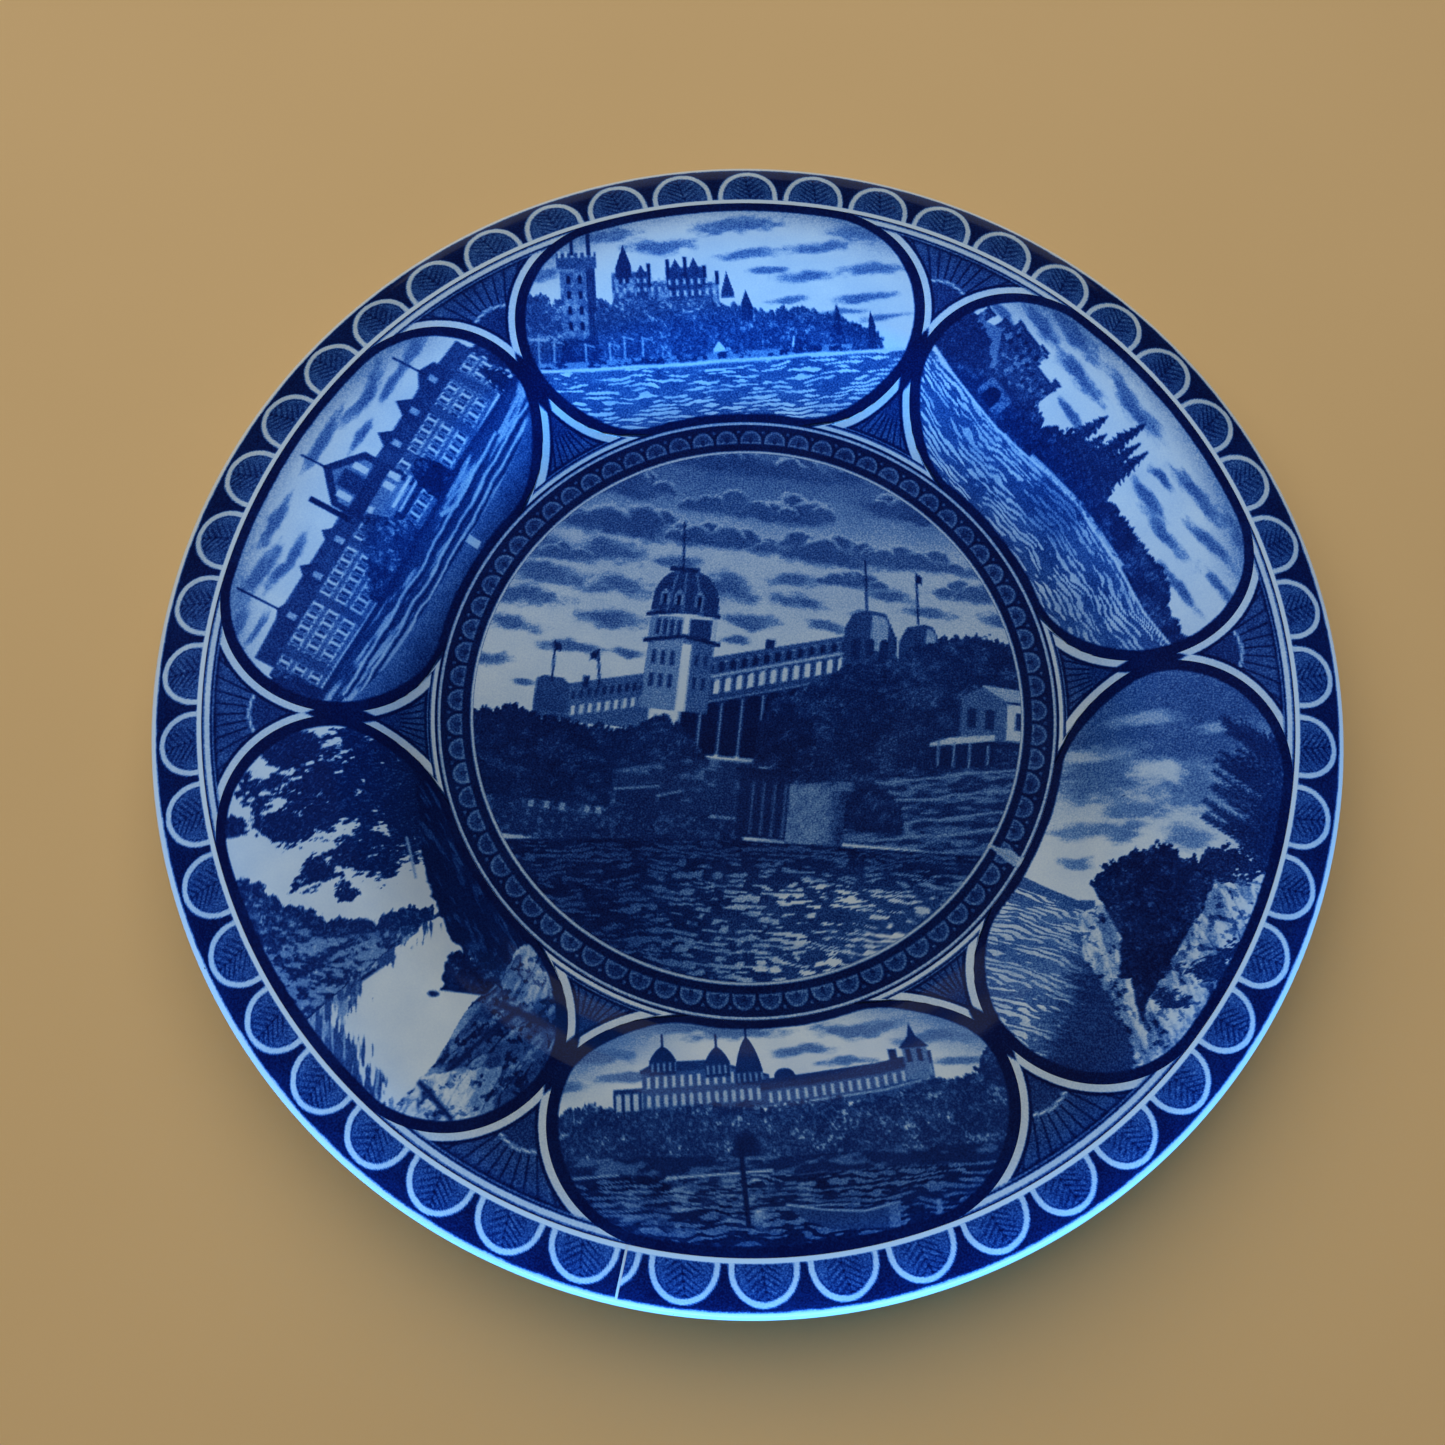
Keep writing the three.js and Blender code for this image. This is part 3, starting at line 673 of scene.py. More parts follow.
# %% A channel between the trees
def quiet_channel(x, y):
    art = Engraving(x, y, 0.04)
    # far trees, and the mottled bank that runs down to the left
    far = art.line((-38, 4), (-26, 6), (-18, 2), (-10, -0.5), (-2, 1), (4, 3.5), (9, 5), (14, 2))
    bank_x = np.interp(y, (-40, -24, -4, 2.5, 5), (-26, -13, 4, 9, 12))
    mottled = ramp(patches(x * 0.8, y * 1.6, 1.6, 123, 3), 0.46, 0.62) * ramp(-y, -3, 5)
    wood(art, -45, bank_x, -40, far, 0.8, 122, 1.4, 0.3)
    art.ink += 0.8 * mottled * (x < bank_x - 0.6) * (y < far - 3) * (0.3 - art.ink)
    art.stroke((-14, -24), (4, -6), 1.0, 0.86, 0.6)
    # reflections: upright strokes that thin out to the right
    lower = (x > bank_x - 0.3) * (y < 2.5)
    reach = (x - np.interp(y, (-38, -30, -25, -20, -15, -5, 2), (11, 5, 1, -2, -3, 5, 9))) / 5
    strokes = 2.6 * (patches(x * 1.6 + 0.3 * y, y * 0.3, 1.5, 125, 3) - 0.5)
    gaps = 0.35 * ramp(patches(x * 2.4 + 0.3 * y, y * 0.35, 1.5, 126, 2), 0.5, 0.7)
    art.ink += lower * ramp(strokes - reach, -0.1, 0.2) * (0.68 - gaps - art.ink)
    # the near tree
    leaves_on(
        art,
        ((-6, 33, 19, 17), (-15, 25, 15, 12), (-5, 15, 11, 10), (-25, 35, 12, 8), (-22, 18, 10, 7),
         (-14, 9, 6, 7),
         (-29, 42, 12, 5), (-28, 25, 9, 7), (2, 24, 10, 18), (-8, 6, 5, 4), (-32, 16, 5, 4)),
        0.88, 126,
    )
    # the dark bank down the right side
    edge_x = np.interp(y, (-8, -4, 0, 5, 12, 20, 25, 35, 44), (21, 18, 13.5, 10, 6.5, 3.4, 2, -1, -8))
    grain = patches(x * 1.4 + 1.0 * y, y * 0.3 - 0.2 * x, 1.4, 129, 3)
    art.fill(edge_x + 1.6 * (patches(x, y, 2, 130) - 0.5), 50, -4, 60,
             0.93 - 0.2 * ramp(grain, 0.5, 0.76), 0.5)
    art.stroke((0.8, 20), (4.4, 11.5), 0.5, 0.3)
    wood(art, 14.4, 27, -11.5, art.line((14, -5), (18, -3), (27, -4)), 0.9, 131, 1.2, 0.2)
    art.blot(13.2, -12.4, 1.1, 0.6, 0.88)
    # boulders and split rock at the water's edge
    foot_x = np.interp(y, (-36, -28, -22, -12, -4), (11, 15, 16.5, 20, 27))
    crest = art.line((10, -34), (16, -26), (21, -13), (27, -6), (33, 2), (42, -4))
    rock(art, foot_x, 50, -40, crest, 0.72, 0.36, 132, -0.6)
    rock(art, 26, 39, -12, art.dome(31.5, 6.6, -10, 12), 0.5, 0.26, 133, -0.2)
    art.stroke((27, -13), (36, -16), 1.4, 0.9, 0.8)
    art.stroke((29.5, -14), (19, -27), 1.3, 0.9, 0.9)
    rock(
        art, np.interp(y, (-36, -26), (9, 15)), 29, -38,
        art.line((9, -36), (14, -29), (20, -26.5), (27, -25.5)), 0.4, 0.32, 134, -0.4,
    )
    art.stroke((21, -36), (14, -30), 1.1, 0.88, 0.8)
    return art.ink


# %% A hotel above the trees, seen from the lake
def lake_hotel(x, y):
    art = Engraving(x, y, 0.1)
    art.ink = 0.05 + 0.45 * ramp(np.hypot(x / 52, y / 30), 0.66, 1.05) * ramp(y, 6, 16)
    thin_clouds(
        art, 0.5, 141, (-38, 17, 10, 2), (-30, 12.6, 8, 1.3), (-8, 19.5, 12, 1.8), (6, 15.4, 8, 1.4),
        (18, 19, 12, 2),
        (14, 12.4, 7, 1.1), (33, 16, 9, 1.6), (36, 11, 7, 1.2), (-44, 11, 7, 1.2), (-18, 22, 12, 2),
        (42, 20, 9, 2),
    )
    # left block with three cupolas
    eaves = art.line((-28, 13.0), (-10, 13.2), (-2, 10.6))
    art.fill(-33.6, -27, 5, 10, 0.8)
    windows(art, -33.4, -27, 5.5, 9.2, 1.7, 1, 0.2, 0.62, 0.9)
    art.fill(-27.8, -2, 5, eaves, 0.66)
    windows(art, -27.4, -3, 9.4, eaves - 0.6, 1.7, 1, 0.16, 0.42, 0.75)
    windows(art, -27.4, -3, 5.8, 8.8, 1.7, 1, 0.2, 0.5, 0.8, arched=True)
    art.fill(-28.2, -2, eaves - 0.2, art.line((-28, 13.6), (-25, 15), (-14, 14.8), (-2, 11)), 0.8)
    for middle, half, foot, height in ((-23.6, 2.7, 14, 4.4), (-12.4, 2.6, 12.8, 4.8),
                                       (-6.0, 2.8, 10.8, 8.4)):
        art.fill(middle - half, middle + half, foot - 1.6, foot + 1.4, 0.84)
        art.fill(middle - half, middle + half, foot + 1,
                 art.dome(middle, half, foot + 1.0, height - 1.2, 1.4), 0.86)
        flagpole(art, middle, foot + height - 1, foot + height + 2.2)
        windows(art, middle - half, middle + half, foot - 1.2, foot + 1.0, 1.2, 1, 0.4, 0.4, 0.8)
    # right wing
    ridge = art.line((-4, 10), (6, 10.6), (20, 11.6), (31, 13.4))
    art.fill(-4, 31, 4.5, ridge, 0.66)
    art.fill(-4, 31, ridge - 2.2, ridge, 0.82)
    windows(art, -3, 31, ridge - 5, ridge - 2.4, 1.8, 1, 0.2, 0.4, 0.8)
    art.fill(-3, 31, ridge - 5.6, ridge - 5.2, 0.3)
    art.fill(-1.0, 3.4, 9, art.dome(1.2, 2.2, 10, 2), 0.84)
    art.fill(22.8, 24.4, 11, 14.2, 0.84)
    art.fill(25.6, 30.4, 8, 14.6, 0.5)
    windows(art, 25.6, 30.4, 11, 14.4, 2.2, 1, 0.86, 0.45, 0.8, arched=True)
    art.fill(25.2, 30.8, 14.2, art.line((25.2, 14.4), (27.2, 16.6), (28, 19.4), (28.8, 16.6),
                                        (30.8, 14.4)), 0.84)
    # tree belt
    wood(art, -54, -32, -7, art.line((-54, 7), (-42, 6.4), (-36, 6.6), (-32, 4)), 0.76, 143, 1.3, 0.3)
    wood(art, -34, 36, -7, art.line((-34, 4.6), (-20, 5.6), (0, 4.8), (20, 4.6), (30, 6.6), (36, 7)),
         0.76, 144, 1.3, 0.32)
    wood(art, 33, 54, -9, art.line((33, 5), (38, 7.6), (42, 11.6), (54, 12)), 0.78, 145, 1.6, 0.26)
    art.blot(-8, -3.2, 2.6, 3.4, 0.92, 1.6)
    # shore and the dark water
    shore = art.line((-54, -5.6), (-30, -6.4), (0, -8.4), (30, -8.6), (54, -8.4))
    art.fill(-54, 54, shore, shore + 3.5, 0.86 - 0.28 * ramp(patches(x * 0.5, y * 1.4, 2.2, 146), 0.5, 0.7))
    ripples(art, shore, 0.92, 0.36, 147, pitch=1.1)
    for middle, half, strength in ((-21, 4.5, 0.5), (-30, 3.5, 0.35), (-6.5, 2.2, 0.75), (-12, 2.4, 0.4),
                                   (3, 1.6, 0.25)):
        column = np.exp(-((x - middle) / half) ** 2) * ramp(-y, 7, 9) * (1 - ramp(-y, 15, 20))
        dashes = ramp(patches(x * 0.7, y * 3.0, 2.2, 148), 0.4, 0.62)
        art.ink += strength * column * dashes * (0.12 - art.ink) * (y < shore)
    art.fill(-24, -3, -7.6, -7.1, 0.22)
    art.fill(-46, -33, -6.3, -5.9, 0.3)
    art.stroke((-9.0, -3), (-8.6, -17), 1.0, 0.94)
    # rowing boat
    gunwale = art.line((-1, -13.8), (6, -15.2), (14, -16), (21, -14.8))
    keel = art.line((-1, -14.2), (3, -17.2), (8, -19), (20.6, -19.4), (21, -15))
    art.fill(-1, 21, keel, gunwale, 0.72)
    art.fill(-1, 21, gunwale - 0.2, gunwale + 0.25, 0.3)
    art.stroke((1, -14.2), (13, -14.6), 0.35, 0.35)
    art.fill(18.6, 21, keel, gunwale, 0.55)
    art.fill(22.6, 25.6, -18.8, -15.6, 0.92)
    art.fill(28, 29, -18, -14.8, 0.45)
    return art.ink


# %% Rocks and pines under a broken sky
def bough(art, tip, root, seed, tone=0.84):
    """A fir bough: a stem with needles on both sides, longer towards its root."""
    art.stroke(root, tip, 0.4, tone)
    tip, root = np.array(tip, float), np.array(root, float)
    run = root - tip
    length = np.hypot(*run)
    ahead = -run / length
    aside = np.array([-ahead[1], ahead[0]])
    for n in range(int(length / 0.75)):
        along = (n + chance(n, 1, seed)) * 0.75 / length
        start = tip + along * run
        for side in (-1, 1):
            needle = (0.8 + 2.2 * along) * (0.6 + 0.6 * chance(n, side, seed))
            end = start + needle * (0.75 * ahead + side * 0.65 * aside)
            art.stroke(start, end, 0.3, tone, 0.4)


def rocky_point(x, y):
    art = Engraving(x, y, 0.06)
    art.ink = 0.06 + 0.12 * ramp(y, 4, 20) + 0.36 * ramp(y, 22, 38)
    for n, (cx, cy, across, up, tone) in enumerate((
        (-4, 40, 20, 6, 0.62), (12, 36, 16, 7, 0.64), (-6, 31, 14, 6, 0.6), (9, 28, 14, 6, 0.6),
        (20, 25, 9, 5, 0.5),
        (-9, 21, 10, 7, 0.52), (9, 18, 10, 6, 0.5), (-3, 14, 6, 3.4, 0.46), (-12, 9, 6, 2.4, 0.4),
        (-5, 9, 5, 2.6, 0.46), (8, 8.5, 5, 3.4, 0.44), (17, 12, 6, 2.4, 0.4), (-13, 2, 4, 1.6, 0.4),
        (2, 22, 6, 2.6, 0.1),
        (-1, 34, 8, 2.0, 0.3), (15, 32, 7, 1.6, 0.3), (-12, 26, 6, 1.8, 0.2),
    )):
        smear(art, cx, cy, across, up, tone, 161 + n)
    # far shore, and water that darkens under the rock
    shore = art.line((-36, 4), (-22, -1.4), (-13, -6.5))
    art.fill(-44, -10, -12, shore, 0.62)
    water = art.line((-36, 0), (-24, -3.4), (-12, -8.5))
    ripples(art, water, 0.56, 0.42, 168, pitch=0.95, broken=0.4)
    dark_x = np.interp(y, (-44, -30, -20, -8), (-24, -17, -14, -12))
    streaks = 7 * (patches(x * 0.5, y * 2.4, 1.6, 169, 3) - 0.5)
    depth = ramp(x - dark_x + streaks, -3, 4) * ramp(-y, 9, 18)
    art.ink += 0.9 * depth * (y < water) * (0.84 - art.ink)
    # left rock, the ravine and its trees
    rock(art, np.interp(y, (-26, -18, -10), (-8, -13, -13)), 2, -25,
         art.line((-14, -10), (-8, -7), (2, -7)), 0.5, 0.36, 170)
    ravine_x = np.interp(y, (-30, -24, -14, -6, 2), (-5, -6, -5.5, -9, -12))
    crowns = art.line((-17, -9), (-11, -3), (-6, 2.4), (-2, 3.4), (4, 5.2), (7, 2.4), (12, 5), (16, 3))
    wood(art, ravine_x, 15, -29, crowns, 0.9, 171, 1.8, 0.2)
    # the right cliff, with trees growing from its ledge
    cliff_x = np.interp(y, (-46, -42, -34, -26, -20, -14, -8, 0), (-3, -4, -2, 0, 4, 6, 10, 13))
    rock(art, cliff_x, 40, -48, art.line((-4, -30), (6, -12), (12, -1), (15, 0.6), (20, 0), (40, -8)),
         0.4, 0.34, 172, 0.5)
    leaves_on(art, ((12, -19, 10, 5), (20, -17, 9, 7), (17, -26, 8, 6), (4, -26, 6, 3), (8, -8, 4, 5)),
              0.84, 173, 1.5)
    small_x = np.interp(y, (-36, -30, -23), (-3.4, -6.4, -8))
    rock(art, small_x, small_x + 4.4, -37, -22.5, 0.4, 0.3, 174)
    # the pine at the right
    leaves_on(art, ((27, 12, 8, 18), (20, 4, 9, 6), (14, 2, 6, 5)), 0.88, 175, 1.3)
    for n in range(26):
        root_y = 2 + 26 * n / 25
        out = 8 + 5 * chance(n, 1, 179) + 4 * (1 - n / 25)
        root = (27, root_y)
        bough(art, (27 - out, root_y + out * (0.35 + 0.5 * chance(n, 2, 179))), root, 180 + n)
    return art.ink


# %% [markdown]
# ## The borders
# Everything round the pictures is drawn in turns and radii, as with a compass. Each framed
# view is an oval stretched round the plate: its two long sides follow circles, and its ends are
# swept round by a superellipse, a curve between an ellipse and a box. The same formula gives
# both the edge of a view and the distance from it, so the frame and the white line beside it
# keep an even width all the way.

# %% The outline of a framed view
VIEW_ANGLES = [40, 100, 160, 220, 280, 340]
VIEW_PITCH = 360 / len(VIEW_ANGLES)
view_middle = 88.5                      # radius where a view is widest
view_up, view_down = border_radius - view_middle - 0.1, view_middle - medallion_radius - 0.6
view_straight, view_corner = 14.5, 15.3  # degrees each side of a view's middle
CORNER_POWER = 1.85


def view_half_angle(rise):
    """How far a view reaches each way, in degrees. rise runs from -1, its inner edge, to 1."""
    swept = np.clip(1 - np.abs(rise) ** CORNER_POWER, 0, 1) ** (1 / CORNER_POWER)
    return view_straight + view_corner * swept


def view_radius(rise):
    return view_middle + rise * np.where(rise > 0, view_up, view_down)


def depth_in_view(turn, radius):
    """Distance inside a view's edge, in mm, at turn degrees from its middle. It is negative outside."""
    reach_up = np.where(radius > view_middle, view_up, view_down)
    p = np.abs(radius - view_middle) / reach_up + 1e-6
    q = np.clip(np.abs(turn) - view_straight, 0, None) / view_corner + 1e-6
    size = (p**CORNER_POWER + q**CORNER_POWER) ** (1 / CORNER_POWER)
    mm_per_corner = radius * radians(view_corner)
    by_p = (p / size) ** (CORNER_POWER - 1) / reach_up
    by_q = (q / size) ** (CORNER_POWER - 1) / mm_per_corner
    return (1 - size) / np.hypot(by_p, by_q)


def mark(distance, blur=0.3):
    """How much a mark covers a point, from the distance to the mark's edge."""
    return np.clip(0.5 - distance / blur, 0, 1)


def ring(radius, middle, width, blur=0.25):
    return mark(np.abs(radius - middle) - width / 2, blur)


# %% [markdown]
# The scallop band is one paper strip of arches, and it goes round the edge with its two ends
# meeting below the bottom view. The ends don't quite match: the last arch but one is cut, and a
# hair of bare ware shows at the join. Such a fault is left in, because the plate has it. Inside
# an arch a feathered leaf leans to one side.

# %% Scallops, medallions and fans
STRIP_START = 264
ARCH_PITCH = 7.457
FIRST_ARCH = 269.5
ARCH_FOOT, ARCH_SPRING = 116.0, 117.5   # radii where the arches stand and where they turn in
ARCH_HALF, ARCH_RISE, ARCH_SIZE = 6.9, 7.1, 7.0
BARB_PITCH = 1.35                       # from one barb of an arch's leaf to the next
DARK, WARE = 0.97, 0.05


def scallops(turn, radius):
    """The scallop band. turn is in degrees, and runs on past 360 from the strip's start."""
    number = np.round((turn - FIRST_ARCH) / ARCH_PITCH)
    s = radians(1) * (turn - FIRST_ARCH - number * ARCH_PITCH) * radius
    rise = np.clip(radius - ARCH_SPRING, 0, None)
    arch = (np.hypot(s / ARCH_HALF, rise / ARCH_RISE) - 1) * ARCH_SIZE
    arch = arch + 0.25 * (patches(turn * 2.2, radius, 3.0, 201) - 0.5)
    vein = s - 0.10 * (radius - ARCH_FOOT) ** 1.35 + 0.6
    barb = (radius - ARCH_FOOT) / BARB_PITCH - 0.55 * np.abs(vein)
    leaf = mark(np.abs(barb - np.round(barb)) * BARB_PITCH - 0.22, 0.35) * mark(np.abs(vein) - 3.4, 1.6)
    cloudy = patches(turn * 2.0, radius, 1.6, 202)
    fill = 0.66 + 0.16 * (cloudy - 0.5) + 0.24 * leaf + 0.18 * mark(np.abs(vein) - 0.15)
    ink = DARK - 0.05 * cloudy
    ink = ink + mark(np.maximum(arch, ARCH_FOOT - radius)) * (WARE + 0.04 - ink)
    ink = ink + mark(np.maximum(arch + 1.25, ARCH_FOOT + 0.4 - radius)) * (DARK - 0.06 - ink)
    ink = ink + mark(np.maximum(arch + 1.5, ARCH_FOOT + 0.6 - radius)) * (fill - ink)
    ink = ink + ring(radius, ARCH_FOOT + 0.05, 0.75) * (WARE + 0.06 - ink)
    frayed = scallop_radius - 0.3 + 0.35 * (patches(turn * 2.1, radius * 0, 2.5, 203) - 0.5)
    return ink + mark(frayed - radius, 0.5) * (WARE - ink)


MEDALLIONS = 72
MEDALLION_START = 335
DOME_FOOT, DOME_SPRING = 64.2, 65.1     # radii where the domes stand and where they turn in
DOME_HALF, DOME_RISE = 2.45, 2.5


def medallions(turn, radius):
    """The narrow band round the middle picture: little domes, with a dot between two."""
    pitch = 360 / MEDALLIONS
    s = radians(1) * (turn / pitch - np.round(turn / pitch)) * pitch * radius
    gap = radians(1) * (turn / pitch - np.floor(turn / pitch) - 0.5) * pitch * radius
    height = np.clip(radius - DOME_SPRING, 0, None)
    dome = (np.hypot(s / DOME_HALF, height / DOME_RISE) - 1) * DOME_HALF
    dome = np.maximum(dome, DOME_FOOT - radius)
    worn = 0.2 * (patches(turn * 1.15, radius, 5.0, 211) - 0.5)
    ink = np.full(radius.shape, DARK - 0.02)
    ink = ink + mark(dome) * (0.55 + worn - ink)
    ink = ink + mark(dome + 0.6) * (0.76 + worn - ink)
    ink = ink + mark(np.hypot(s * 1.5, radius - 65.2) - 0.8) * (0.86 - ink)
    ink = ink + mark(np.hypot(gap, radius - 67.2) - 0.35) * (0.6 - ink)
    joint = radians(1) * np.minimum(turn - MEDALLION_START, MEDALLION_START + 360 - turn) * radius
    notch = mark(joint - 0.5 - 1.6 * patches(turn, radius * 1.4, 1.5, 212) * ramp(radius, 63, 66), 0.4)
    ink = ink + notch * (0.3 - ink)
    ink = ink + ring(radius, 69.3, 0.6) * (WARE + 0.14 - ink)
    return ink + ring(radius, picture_radius - 0.3, 0.7) * (WARE + 0.12 - ink)


HUBS = 97.0, 82.0           # radii that the outer and the inner fan open from
FAN_REACHES = 8.6, 5.2
PLEAT = 9.5                 # degrees


def fans(turn, radius):
    """The ground between two views, at turn degrees from where they touch."""
    outside = -depth_in_view(np.abs(turn) - VIEW_PITCH / 2, radius)
    s = radians(1) * turn * radius
    ink = np.full(radius.shape, 0.7) + 0.12 * (patches(s, radius, 2.0, 221) - 0.5)
    outer = radius > view_middle
    hub = np.where(outer, *HUBS)
    spoke = np.degrees(np.arctan2(s, np.abs(radius - hub)))
    pleat = spoke / PLEAT - np.round(spoke / PLEAT)
    from_hub = np.hypot(s, radius - hub)
    ink = ink + mark(np.abs(pleat) * radians(PLEAT) * from_hub - 0.2, 0.35) * (DARK - ink)
    bow = np.where(outer, *FAN_REACHES)
    ink = ink + mark(from_hub - bow, 0.3) * (0.8 - ink)
    ink = ink + np.where(outer, mark(np.abs(from_hub - bow) - 0.28), 0) * (WARE + 0.1 - ink)
    edge = np.minimum(outside - 1.5, np.where(outer, 112.9 - radius, radius - 71.7))
    ink = ink + mark(edge - 0.7) * (DARK - ink)
    ink = ink + mark(edge) * (WARE + 0.03 - ink)
    for middle, width, tone in ((113.25, 0.5, DARK), (115.2, 0.6, DARK), (71.35, 0.45, DARK),
                                (69.9, 0.6, DARK)):
        ink = ink + ring(radius, middle, width) * (tone - ink)
    touching = mark(np.abs(s) - 1.9 * (1 - ((radius - 87.5) / 7.0) ** 2), 0.5)
    return ink + touching * (DARK - ink)


def framed(picture_ink, turn, radius):
    """A picture inside its dark frame, which is narrower along its two long sides."""
    rise = (radius - view_middle) / np.where(radius > view_middle, view_up, view_down)
    width = 2.35 - 0.3 * ramp(rise, 0.6, 1.0) - 0.7 * ramp(-rise, 0.6, 1.0)
    width = width + 0.25 * (patches(turn * 1.5, radius, 4.0, 231) - 0.5)
    return picture_ink + mark(depth_in_view(turn, radius) - width, 0.4) * (DARK - picture_ink)


# %% [markdown]
# ## Finishes
# Two effects are shared between the finishes, so each is a node group, made once. The first
# is the cobalt: it turns an amount of ink into a colour. Thin cobalt under glaze is a milky
# blue and thick cobalt is nearly black, so the colour runs through a ramp rather than a mix of
# two blues. The copper plate's stipple breaks up the half tones, and the glaze lets the blue
# flow a little into the bare ware next to it.

# %% Helpers for node groups
def new_group(name, inputs, outputs):
    group = bpy.data.node_groups.new(name, "ShaderNodeTree")
    for socket, kind, value in inputs:
        made = group.interface.new_socket(socket, in_out="INPUT", socket_type=kind)
        if value is not None:
            made.default_value = value
    for socket, kind in outputs:
        group.interface.new_socket(socket, in_out="OUTPUT", socket_type=kind)
    return group, group.nodes.new("NodeGroupInput"), group.nodes.new("NodeGroupOutput")


def math_node(tree, operation, a, b=None, clamp=False):
    node = tree.nodes.new("ShaderNodeMath")
    node.operation, node.use_clamp = operation, clamp
    for socket, value in zip(node.inputs, (a, b)):
        if isinstance(value, bpy.types.NodeSocket):
            tree.links.new(value, socket)
        elif value is not None:
            socket.default_value = value
    return node.outputs[0]


def noise_node(tree, vector, scale, detail=2.0, roughness=0.5):
    node = tree.nodes.new("ShaderNodeTexNoise")
    node.inputs["Scale"].default_value = scale
    node.inputs["Detail"].default_value = detail
    node.inputs["Roughness"].default_value = roughness
    tree.links.new(vector, node.inputs["Vector"])
    return node.outputs["Fac"]


def ramp_node(tree, factor, *stops):
    node = tree.nodes.new("ShaderNodeValToRGB")
    elements = node.color_ramp.elements
    elements[0].position, elements[0].color = stops[0][0], (*stops[0][1], 1)
    elements[1].position, elements[1].color = stops[-1][0], (*stops[-1][1], 1)
    for place, colour in stops[1:-1]:
        elements.new(place).color = (*colour, 1)
    tree.links.new(factor, node.inputs["Fac"])
    return node.outputs["Color"]


# %% The cobalt ink
STIPPLE_SCALE = 2600        # about 0.4 mm from dot to dot
FLOW_SCALE = 110            # the blue has run more in some places than in others


def cobalt_group():
    group, given, result = new_group(
        "cobalt_ink",
        [("Ink", "NodeSocketFloat", 0.5), ("Place", "NodeSocketVector", None),
         ("Stipple", "NodeSocketFloat", 0.3)],
        [("Color", "NodeSocketColor")],
    )
    dots = noise_node(group, given.outputs["Place"], STIPPLE_SCALE, 1.0)
    flow = noise_node(group, given.outputs["Place"], FLOW_SCALE, 3.0)
    ink = given.outputs["Ink"]
    half_tone = math_node(group, "MULTIPLY", ink, math_node(group, "SUBTRACT", 1.12, ink))
    strength = math_node(group, "MULTIPLY", half_tone, given.outputs["Stipple"])
    stippled = math_node(group, "MULTIPLY", math_node(group, "SUBTRACT", dots, 0.5), 8.0)
    speckle = math_node(group, "MULTIPLY", stippled, strength)
    run = math_node(group, "MULTIPLY", math_node(group, "SUBTRACT", flow, 0.5), 0.16)
    shade = math_node(group, "ADD", math_node(group, "ADD", ink, speckle), run, clamp=True)
    colour = ramp_node(
        group, shade,
        (0.0, (0.60, 0.72, 0.82)),
        (0.13, (0.40, 0.55, 0.74)),
        (0.36, (0.110, 0.255, 0.560)),
        (0.6, (0.019, 0.084, 0.330)),
        (0.8, (0.0032, 0.022, 0.155)),
        (1.0, (0.0008, 0.0040, 0.050)),
    )
    group.links.new(colour, result.inputs["Color"])
    return group


# %% [markdown]
# The second is the skin of the glaze. Fired glaze isn't flat: it has long slow waves, a fine
# dimple like orange peel, and pinholes where a bubble broke. The heights go to a Bump node in
# each finish, and the same pinholes and a faint haze of handling make its roughness uneven.

# %% The skin of the glaze
def glaze_group():
    group, given, result = new_group(
        "glaze_skin",
        [("Place", "NodeSocketVector", None)],
        [("Height", "NodeSocketFloat"), ("Roughness", "NodeSocketFloat"), ("Pinholes", "NodeSocketFloat")],
    )
    place = given.outputs["Place"]
    wave = noise_node(group, place, 45, 2.0)
    peel = noise_node(group, place, 700, 2.0)
    cells = group.nodes.new("ShaderNodeTexVoronoi")
    cells.inputs["Scale"].default_value = 130
    group.links.new(place, cells.inputs["Vector"])
    near = math_node(group, "LESS_THAN", cells.outputs["Distance"], 0.055)
    rare = math_node(group, "GREATER_THAN", noise_node(group, place, 60, 1.0), 0.66)
    pinholes = math_node(group, "MULTIPLY", near, rare)
    height = math_node(group, "ADD", math_node(group, "MULTIPLY", wave, 1.0),
                       math_node(group, "MULTIPLY", peel, 0.16))
    height = math_node(group, "SUBTRACT", height, math_node(group, "MULTIPLY", pinholes, 0.5))
    haze = ramp_node(group, noise_node(group, place, 22, 4.0), (0.35, (0.09,) * 3), (0.7, (0.17,) * 3))
    roughness = math_node(group, "ADD", haze, math_node(group, "MULTIPLY", pinholes, 0.4), clamp=True)
    for name, socket in (("Height", height), ("Roughness", roughness), ("Pinholes", pinholes)):
        group.links.new(socket, result.inputs[name])
    return group


cobalt, glaze_skin = cobalt_group(), glaze_group()
print("Shared groups:", cobalt.name, glaze_skin.name)

# %% [markdown]
# A finish starts from an empty Principled material. Colours are set on its own sockets, and the
# groups feed only what changes over the surface. Each printed sheet has its own finish, with one
# setting: how hard the stipple bites.

# %% A new finish, with the glaze on it
def new_finish(name):
    finish = bpy.data.materials.new(name)
    finish.use_nodes = True
    tree = finish.node_tree
    return (finish, tree, tree.nodes["Principled BSDF"],
            tree.nodes.new("ShaderNodeTexCoord").outputs["Object"])


def under_glaze(tree, shader, place, depth=0.00006):
    """The waves, dimples and uneven shine of fired glaze."""
    skin = tree.nodes.new("ShaderNodeGroup")
    skin.node_tree = glaze_skin
    tree.links.new(place, skin.inputs["Place"])
    bump = tree.nodes.new("ShaderNodeBump")
    bump.inputs["Distance"].default_value = depth
    bump.inputs["Strength"].default_value = 1.0
    tree.links.new(skin.outputs["Height"], bump.inputs["Height"])
    tree.links.new(bump.outputs["Normal"], shader.inputs["Normal"])
    tree.links.new(skin.outputs["Roughness"], shader.inputs["Roughness"])
    shader.inputs["IOR"].default_value = 1.5
    shader.inputs["Specular IOR Level"].default_value = 0.3
    return skin


